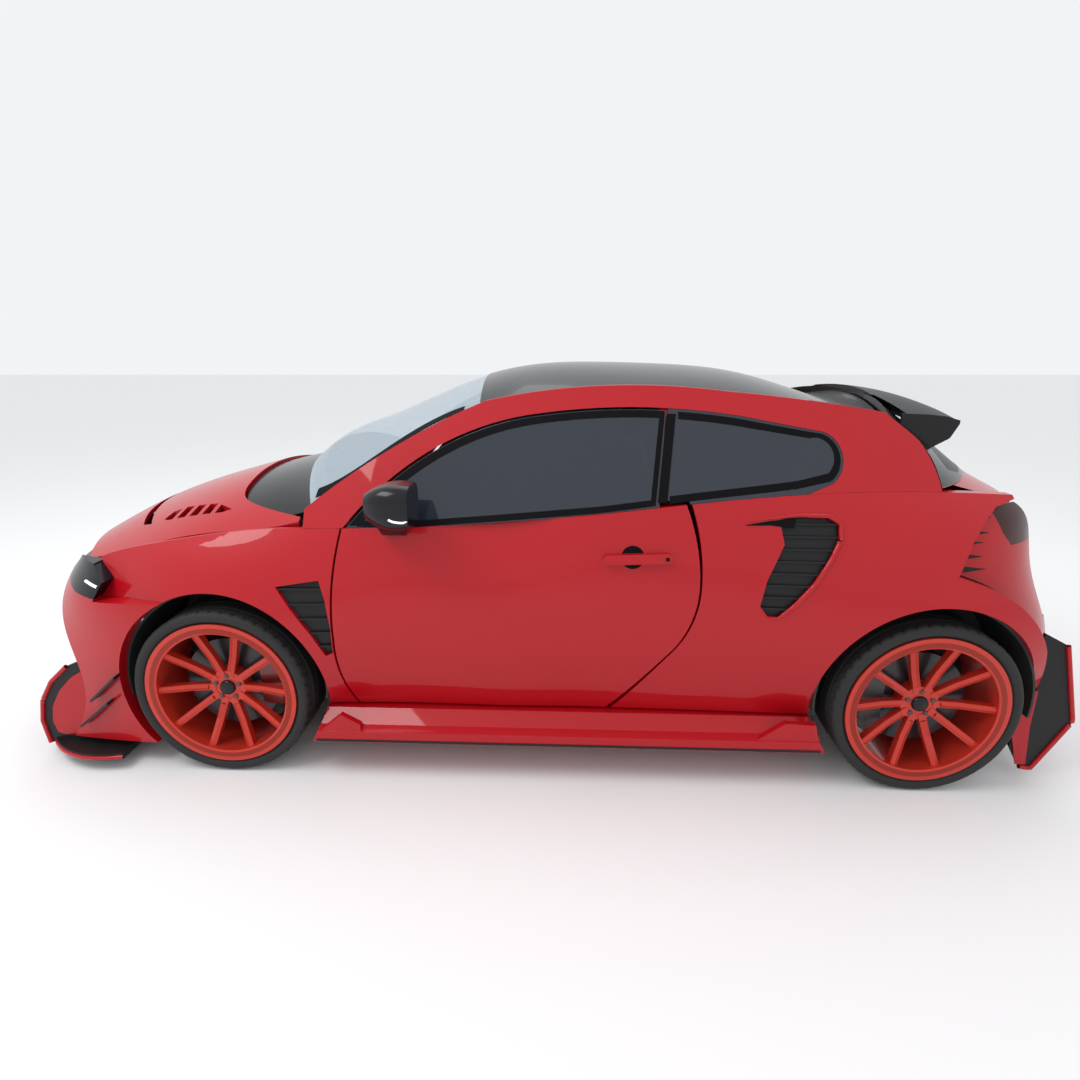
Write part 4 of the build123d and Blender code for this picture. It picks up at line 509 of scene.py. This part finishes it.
def hub(end, hand, side):
    """The centre cap and the ring of nuts of one wheel."""
    axle, face = AXLES[end]
    body = f"{end}_{hand}_wheel"
    rim = outer_points(f"wheel_{end}_{hand}", 1, side)
    near = rim[np.hypot(rim[:, 0] - axle, rim[:, 2] - WHEEL_R) < 0.055]
    front_y = side * np.abs(near[:, 1]).max()
    cap = turned((axle, front_y, WHEEL_R), CAP_PROFILE, side, 28)
    piece(f"cap_{end}_{hand}", [cap], FINISH["gloss_black"], body, True, ROUND_U)
    angles = np.arange(NUTS) * 2 * math.pi / NUTS + NUT_TURN
    spots = [(axle + NUT_RING * math.cos(b), front_y, WHEEL_R + NUT_RING * math.sin(b)) for b in angles]
    nuts = [turned(spot, NUT_PROFILE, side, 12) for spot in spots]
    piece(f"nuts_{end}_{hand}", nuts, FINISH["cast_iron"], body, True, ROUND_U)
    return round(float(front_y), 3)


print("hub faces at y", [hub(*wheel) for wheel in WHEELS])

# %% [markdown]
# ## Spoke ridges and the rim's painted shade
# The solid's spokes are plain bars. A ridge gives each its roof shape, and a darker ring inside the rim's
# lip is painted shade, where a step would catch the shade.

# %% Spokes and rim
# Painted shade: a darker red for a ring inside the rim's lip, standing in for the shade of a step.
PAINTED_SHADE_RED = finish_of("wheel_shade", (0.30, 0.020, 0.010), rough=0.45, metal=0.2, coat=0.2, coat_rough=0.2,
                     spec=0.25)
SPOKES = 10
SPOKE_R = (0.046, 0.136, 0.247)
SPOKE_DEPTH = (0.060, 0.050, 0.022)
RIDGE_HIGH, RIDGE_HALF, RIDGE_FOOT = 0.007, 0.0125, 0.0003
SHADE_RING_PROFILE = [(0.2500, -0.0004), (0.2590, -0.0008), (0.2680, -0.0004)]


def ridges(end, hand, side):
    """A roof along each spoke: depth(r) + RIDGE_FOOT - RIDGE_HIGH * (1 - |u|), with |u| <= 1 across it."""
    axle, face = AXLES[end]
    run = np.r_[np.linspace(0.072, 0.136, 9), np.linspace(0.150, 0.243, 12)][:, None]
    u = np.array([[-1, 0, 1]])
    wide = RIDGE_HALF * u + 0 * run
    depth = np.interp(run, SPOKE_R, SPOKE_DEPTH) + RIDGE_FOOT - RIDGE_HIGH * (1 - np.abs(u))
    grids = []
    for n in range(SPOKES):
        c, s = math.cos(2 * math.pi * n / SPOKES), math.sin(2 * math.pi * n / SPOKES)
        g = np.stack([axle + c * run - s * wide, side * (face - depth), WHEEL_R + s * run + c * wide], -1)
        grids.append(g if side < 0 else g[:, ::-1])
    piece(f"ridges_{end}_{hand}", grids, FINISH["wheel_paint"], f"{end}_{hand}_wheel", False)


def rim_shade_ring(end, hand, side):
    """A ring of painted shade inside the rim's lip, where a step would catch the shade."""
    axle, face = AXLES[end]
    p = outer_points(f"wheel_{end}_{hand}", 1, side)
    r = np.hypot(p[:, 0] - axle, p[:, 2] - WHEEL_R)
    lip_y = side * np.abs(p[r > 0.26, 1]).max()
    # The ring is painted shade, laid just over the lip's face.
    ring = turned((axle, lip_y, WHEEL_R), SHADE_RING_PROFILE, side, 96)
    piece(f"rim_shade_ring_{end}_{hand}", [ring], PAINTED_SHADE_RED, f"{end}_{hand}_wheel", True, ROUND_U)


for wheel in WHEELS:
    ridges(*wheel)
    rim_shade_ring(*wheel)

# %% [markdown]
# ## Seats
# Each pad starts as a superellipsoid, |x/a|^m + |y/b|^m + |z/c|^m = 1. Cloth pressure crowns it, and two
# sewn channels are pressed in afterwards, because the remesh would wipe them out.

# %% Pads
SHRINK = 0.015
POLE = 1.5707


def power(v, e):
    """|v|^e with the sign of v."""
    return np.sign(v) * np.abs(v) ** e


def pad(centre, size, tilt, soft=0.32, n=(56, 40)):
    """A pad of full size (x, y, z), less SHRINK on every side to leave room for the blowing, tilted about y.

    Before the tilt: x = a cos(v)^soft cos(u)^soft, y = b cos(v)^soft sin(u)^soft, z = c sin(v)^soft.
    """
    u = np.linspace(0, 2 * math.pi, n[0], endpoint=False)[:, None]
    v = np.linspace(-math.pi / 2, math.pi / 2, n[1])[None]
    half = np.array(size) / 2 - SHRINK
    girth = np.abs(np.cos(v)) ** soft * (np.abs(v) < POLE)
    x = half[0] * girth * power(np.cos(u), soft)
    y = half[1] * girth * power(np.sin(u), soft)
    z = half[2] * power(np.sin(v), soft) + 0 * u
    c, s = math.cos(tilt), math.sin(tilt)
    return np.stack([centre[0] + c * x + s * z, centre[1] + y, centre[2] - s * x + c * z], -1)


def corners_of(mesh):
    """The mesh's points as one array."""
    co = np.zeros(len(mesh.vertices) * 3)
    mesh.vertices.foreach_get("co", co)
    return co.reshape(-1, 3)


print("points of a pad before the remesh", pad((0, 0, 0), (0.5, 0.5, 0.2), 0).reshape(-1, 3).shape[0])

# %% [markdown]
# The pad is remeshed evenly, blown up over a short run of frames, and each point is held within a cap of
# its start, so the seat keeps its size. The channels are then sunk along the pad's normals.

# %% Blowing and sewing
VOXEL = 0.011
CAP = 0.024
PRESSURE = 4
FRAMES = 20


def blown(obj):
    """Remeshes a pad, blows it up by cloth pressure, and holds each point within CAP of its start."""
    scene = bpy.context.scene
    remesh = obj.modifiers.new("voxels", "REMESH")
    remesh.mode = "VOXEL"
    remesh.voxel_size = VOXEL
    even = bpy.data.meshes.new_from_object(obj.evaluated_get(bpy.context.evaluated_depsgraph_get()))
    obj.modifiers.clear()
    obj.data = even
    even.polygons.foreach_set("use_smooth", np.ones(len(even.polygons), bool))
    start = corners_of(even)
    cloth = obj.modifiers.new("cloth", "CLOTH")
    cloth.settings.quality = 3
    cloth.settings.use_pressure = True
    cloth.settings.uniform_pressure_force = PRESSURE
    cloth.settings.effector_weights.gravity = 0
    for step in range(1, FRAMES + 1):
        scene.frame_set(step)
    end = corners_of(obj.evaluated_get(bpy.context.evaluated_depsgraph_get()).data)
    obj.modifiers.clear()
    scene.frame_set(1)
    move = end - start
    far = np.linalg.norm(move, axis=1, keepdims=True)
    end = start + move * np.minimum(1, CAP / np.maximum(far, 1e-9))
    even.vertices.foreach_set("co", end.ravel())
    even.update()


def sewn(obj, mid, half, depth=0.009, width=0.010, at=0.58):
    """Presses in two channels along a pad: depth * exp(-((|y - mid| - at * half) / width)^2) inwards."""
    mesh = obj.data
    co = corners_of(mesh)
    normal = np.zeros(len(mesh.vertices) * 3)
    mesh.vertices.foreach_get("normal", normal)
    sink = depth * np.exp(-(((np.abs(co[:, 1] - mid) - at * half) / width) ** 2))
    co -= normal.reshape(-1, 3) * sink[:, None]
    mesh.vertices.foreach_set("co", co.ravel())
    mesh.update()


print("remesh", VOXEL, "m, cap", CAP, "m, frames", FRAMES)

# %% [markdown]
# A front seat has four pads and the bench has two. Cushions and backs carry the channels.

# %% Seats
SEAT_MID = 0.345


def seat(name, parts, node):
    """The pads of one seat from rows of (label, centre, size, tilt), in place of the solid node."""
    for label, centre, size, tilt in parts:
        one = piece(f"{name}_{label}", [pad(centre, size, tilt)], FINISH["seat_fabric"], "car_body",
                    True, ROUND_U)
        blown(one)
        if label in ("cushion", "back"):
            sewn(one, centre[1], size[1] / 2)
        print(name, label, "points", len(one.data.vertices))
        round_off = one.modifiers.new("round", "SUBSURF")
        round_off.levels = round_off.render_levels = 1
        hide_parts(node)


for hand, side in HANDS:
    mid = side * SEAT_MID
    seat(f"seat_{hand}", [
        ("cushion", (0.15, mid, 0.42), (0.50, 0.46, 0.17), 0.06),
        ("base", (0.16, mid, 0.255), (0.40, 0.40, 0.16), 0.0),
        ("back", (0.485, mid, 0.68), (0.15, 0.46, 0.60), 0.36),
        ("headrest", (0.615, mid, 1.015), (0.09, 0.25, 0.15), 0.30),
    ], "front_seats")
seat("bench", [
    ("cushion", (0.86, 0, 0.36), (0.40, 1.06, 0.34), 0.05),
    ("back", (1.19, 0, 0.69), (0.20, 1.06, 0.50), 0.34),
], "rear_bench")

# %% [markdown]
# ## Red beads and the sill line
# A red bead runs round the splitter's edge and down the fences and the diffuser's end plates. A black line
# lies on the skirt.

# %% Beads
SPLITTER_Z = 0.056
EDGE_Y = 0.787
SILL_Y = 0.8832
plate = np.concatenate([arc3((-1.560, -0.875), (-1.830, -0.838), (-1.952, -0.690), 20),
                        arc3((-1.952, -0.690), (-2.025, 0.0), (-1.952, 0.690), 40)[1:],
                        arc3((-1.952, 0.690), (-1.830, 0.838), (-1.560, 0.875), 20)[1:]])
piece("splitter_bead", [tube(np.c_[plate, np.full(len(plate), SPLITTER_Z)], 0.008)], FINISH["body_paint"],
      "car_body", True, ROUND_V)
REAR_EDGE = [(1.918, 0.550), (2.002, 0.247), (1.892, 0.041), (1.850, 0.049)]
NOSE_EDGE = [(-1.780, 0.390), (-1.856, 0.322), (-1.908, 0.240), (-1.928, 0.150), (-1.916, 0.052)]


def edge_bead(name, hand, side):
    """The beads down one end plate of the diffuser and one fence of the splitter."""
    runs = []
    for edge in (REAR_EDGE, NOSE_EDGE):
        xz = along_line(edge, 40)
        runs.append(tube(np.stack([xz[:, 0], np.full(40, side * EDGE_Y), xz[:, 1]], -1), 0.009))
    piece(name, runs, FINISH["body_paint"], "car_body", True, ROUND_V)


def sill_line(name, hand, side):
    """A black strip on the skirt just over its lower lip."""
    x = np.linspace(-0.79, 1.07, 60)[:, None]
    z = np.linspace(0.152, 0.162, 3)[None]
    g = np.stack([x + 0 * z, side * (SILL_Y + 0 * x * z), z + 0 * x], -1)
    piece(name, [g if side < 0 else g[::-1]], FINISH["satin_black"], "car_body")


both_sides(edge_bead, "edge_bead")
both_sides(sill_line, "sill_line")

# %% [markdown]
# ## Boot sill and plates
# A dark sill backs the slot under the tailgate, x = 1.835 - 0.20 y^2. Thin plates fill in the spoiler's
# cheeks, the red foot on the splitter's fences and the corners of the rear bumper.

# %% Plates
y = np.linspace(-0.62, 0.62, 30)[:, None]
z = np.linspace(0.555, 0.665, 4)[None]
sill = np.stack([1.835 - 0.20 * y**2 + 0 * z, y + 0 * z, z + 0 * y], -1)
piece("boot_sill", [sill], BORDER_AND_SHADOW, "car_body")


def plate_between(top, low, y, wall, side, n=30):
    """A plate between two side-view lines, from y inwards by wall, with its ends drawn to a point."""
    a, b = along_line(top, n), along_line(low, n)
    ring = np.stack([a, b, b, a], 1)
    depth = np.broadcast_to(side * (y - np.array([0, 0, wall, wall])), (n, 4))
    g = np.stack([ring[..., 0], depth, ring[..., 1]], -1)
    ends = [np.broadcast_to(e.mean(0), (1, 4, 3)) for e in (g[0], g[-1])]
    g = np.concatenate([ends[0], g, ends[1]])
    return g if side > 0 else g[:, ::-1]


def spoiler_cheek(name, hand, side):
    """The spoiler's side runs down to the tailgate along the pillar."""
    top = [(1.325, 1.337), (1.400, 1.334), (1.480, 1.327), (1.530, 1.313)]
    low = [(1.325, 1.287), (1.400, 1.238), (1.440, 1.213), (1.504, 1.249), (1.530, 1.300)]
    grid = plate_between(top, low, 0.566, 0.010, side)
    piece(name, [grid], FINISH["satin_black"], "tailgate_lid", False, ROUND_V)


def fence_panel(name, hand, side):
    """The bumper's red foot lies on the fence, so only a black rim of the fence shows."""
    top = [(-1.700, 0.385), (-1.770, 0.345), (-1.830, 0.285), (-1.872, 0.215), (-1.886, 0.150)]
    low = [(-1.700, 0.095), (-1.780, 0.092), (-1.850, 0.090), (-1.875, 0.100), (-1.886, 0.145)]
    grid = plate_between(top, low, 0.789, 0.004, side)
    piece(name, [grid], FINISH["body_paint"], "car_body", False, ROUND_V)


def corner_blade(name, hand, side):
    """A red blade closes the gap between the rear bumper's corner and the end plate."""
    front_edge = [(1.775, 0.370), (1.784, 0.220), (1.832, 0.062)]
    rear_edge = [(1.850, 0.370), (1.852, 0.220), (1.868, 0.062)]
    grid = plate_between(front_edge, rear_edge, 0.793, 0.006, side)
    piece(name, [grid], FINISH["body_paint"], "car_body", False, ROUND_V)


both_sides(spoiler_cheek, "spoiler_cheek")
both_sides(fence_panel, "fence_panel")
both_sides(corner_blade, "corner_blade")

# %% [markdown]
# ## Scoop
# The scoop in the rear quarter has a raised lip that thins out forward into a crease, with a band of painted
# shadow under it.

# %% Scoop
LIP = [(0.733, 0.991), (0.826, 1.008), (0.925, 1.019), (1.024, 1.017), (1.063, 0.995), (1.063, 0.945),
       (1.032, 0.879), (0.982, 0.793), (0.923, 0.719), (0.871, 0.669), (0.835, 0.668), (0.810, 0.705)]
LIP_RUN = [0, 0.3, 0.8, 1]
LIP_RADIUS = [0.001, 0.008, 0.009, 0.002]


def scoop_crease_shadow(name, hand, side):
    """A black band of painted shadow under the scoop's crease."""
    top = along_line([(0.745, 0.987), (0.826, 1.001), (0.915, 1.011)], 30)
    low = along_line([(0.745, 0.985), (0.830, 0.987), (0.906, 0.978)], 30)
    # Painted shadow: a black band laid on the skin under the crease, where the recess is in shade.
    band(name, top, low, quarter_y, side, "car_body", over=0.003)


def scoop_lip(name, hand, side):
    """The raised lip: a bar on the skin whose radius follows LIP_RADIUS along its run."""
    xz = along_line(LIP, 90)
    y = side * quarter_y(xz[:, 0], xz[:, 1])
    thick = np.interp(np.linspace(0, 1, 90), LIP_RUN, LIP_RADIUS)
    bar = tube(np.stack([xz[:, 0], y, xz[:, 1]], -1), thick, 12)
    piece(name, [bar], FINISH["body_paint"], "car_body", True, ROUND_V)


# The painted shadow under each scoop's crease.
both_sides(scoop_crease_shadow, "scoop_crease_shadow")
both_sides(scoop_lip, "scoop_lip")

# %% [markdown]
# ## Handle and light strips
# The door handle spans a round dark dish and carries the lock. Headlamps and mirrors have a white strip.

# %% Handle and strips
HANDLE_X, HANDLE_Z = 0.367, 0.874
LOCK_X, LOCK_Y = 0.484, 0.8505
LOCK_PROFILE = [(0.0004, -0.001), (0.006, -0.001), (0.007, 0.003)]
MIRROR_RUN = [(-0.431, 0.972, 1.039), (-0.416, 0.972, 1.032), (-0.400, 0.970, 1.029), (-0.385, 0.967, 1.028),
              (-0.373, 0.962, 1.033)]
LAMP_RUN = [(-1.646, 0.762, 0.734), (-1.604, 0.789, 0.729), (-1.572, 0.806, 0.726)]


def handle_dish(name, hand, side):
    """A dark round dish behind the handle, r running over a disc, and the lock's dot on the handle."""
    a = np.linspace(0, 2 * math.pi, 36, endpoint=False)[:, None]
    r = np.linspace(0.0005, 0.040, 6)[None]
    x, z = HANDLE_X + r * np.cos(a), HANDLE_Z + r * np.sin(a)
    dish = np.stack([x, side * (door_y(x, z) + 0.0012), z], -1)
    lock = turned((LOCK_X, side * LOCK_Y, HANDLE_Z), LOCK_PROFILE, side, 16)
    grids = [dish if side > 0 else dish[:, ::-1], lock]
    piece(name, grids, BORDER_AND_SHADOW, f"{hand}_door", True, ROUND_U)


def mirror_strip(name, hand, side):
    """The white strip on one mirror."""
    run = along_line(MIRROR_RUN, 24) * [1, side, 1]
    piece(name, [tube(run, 0.004)], WHITE, f"{hand}_door", True, ROUND_V)


def lamp_strip(name, hand, side):
    """The white strip in one headlamp."""
    run = along_line(LAMP_RUN, 24) * [1, side, 1]
    piece(name, [tube(run, 0.006)], WHITE, "car_body", True, ROUND_V)


both_sides(handle_dish, "handle_dish")
both_sides(mirror_strip, "mirror_strip")
both_sides(lamp_strip, "lamp_strip")

# %% [markdown]
# ## Studio
# A pale floor under a pale sky, and two soft area lights: the studio of the photograph is bright on all
# sides.

# %% Stage
bpy.ops.mesh.primitive_plane_add(size=60, location=(0, 0, 0))
floor = bpy.context.object
floor.name = "floor"
floor.data.materials.append(finish_of("floor", (0.88, 0.88, 0.88), rough=0.9))
world = bpy.data.worlds.new("studio")
bpy.context.scene.world = world
world.use_nodes = True
sky = world.node_tree.nodes["Background"]
sky.inputs["Color"].default_value = (0.96, 0.98, 1.0, 1)
sky.inputs["Strength"].default_value = 0.92


def lamp(name, at, aim, size, watts):
    """A soft area light."""
    data = bpy.data.lights.new(name, "AREA")
    data.shape = "RECTANGLE"
    data.size, data.size_y = size
    data.energy = watts
    obj = bpy.data.objects.new(name, data)
    obj.location = at
    obj.rotation_euler = (Vector(aim) - Vector(at)).to_track_quat("-Z", "Y").to_euler()
    bpy.context.scene.collection.objects.link(obj)


lamp("key", (-3.0, -2.2, 5.0), (-0.4, 0, 0.4), (3, 2), 110)
lamp("top", (0.8, 1.4, 5.0), (0, 0.2, 0.6), (6, 3), 60)
print("lights", len(bpy.data.lights))

# %% [markdown]
# ## Camera
# It stands where the photograph was taken from, as fitted on the wheelbase and the wheels' outlines.

# %% Camera
EYE = (0.1408, -2.9445, 1.5841)
YAW, PITCH, ROLL = math.radians(-2.498), math.radians(17.08), math.radians(-0.11)
LENS, SENSOR = 21.57, 36
forward = Vector((math.sin(YAW) * math.cos(PITCH), math.cos(YAW) * math.cos(PITCH), -math.sin(PITCH)))
aimed = forward.to_track_quat("-Z", "Y").to_matrix()
camera_data = bpy.data.cameras.new("camera")
camera_data.sensor_width = SENSOR
camera_data.lens = LENS
camera = bpy.data.objects.new("camera", camera_data)
camera.location = EYE
camera.rotation_euler = (aimed @ Matrix.Rotation(ROLL, 3, "Z")).to_euler()
bpy.context.scene.collection.objects.link(camera)
bpy.context.scene.camera = camera
bpy.context.scene.view_settings.view_transform = "Standard"
print("camera at", EYE, "lens", LENS)
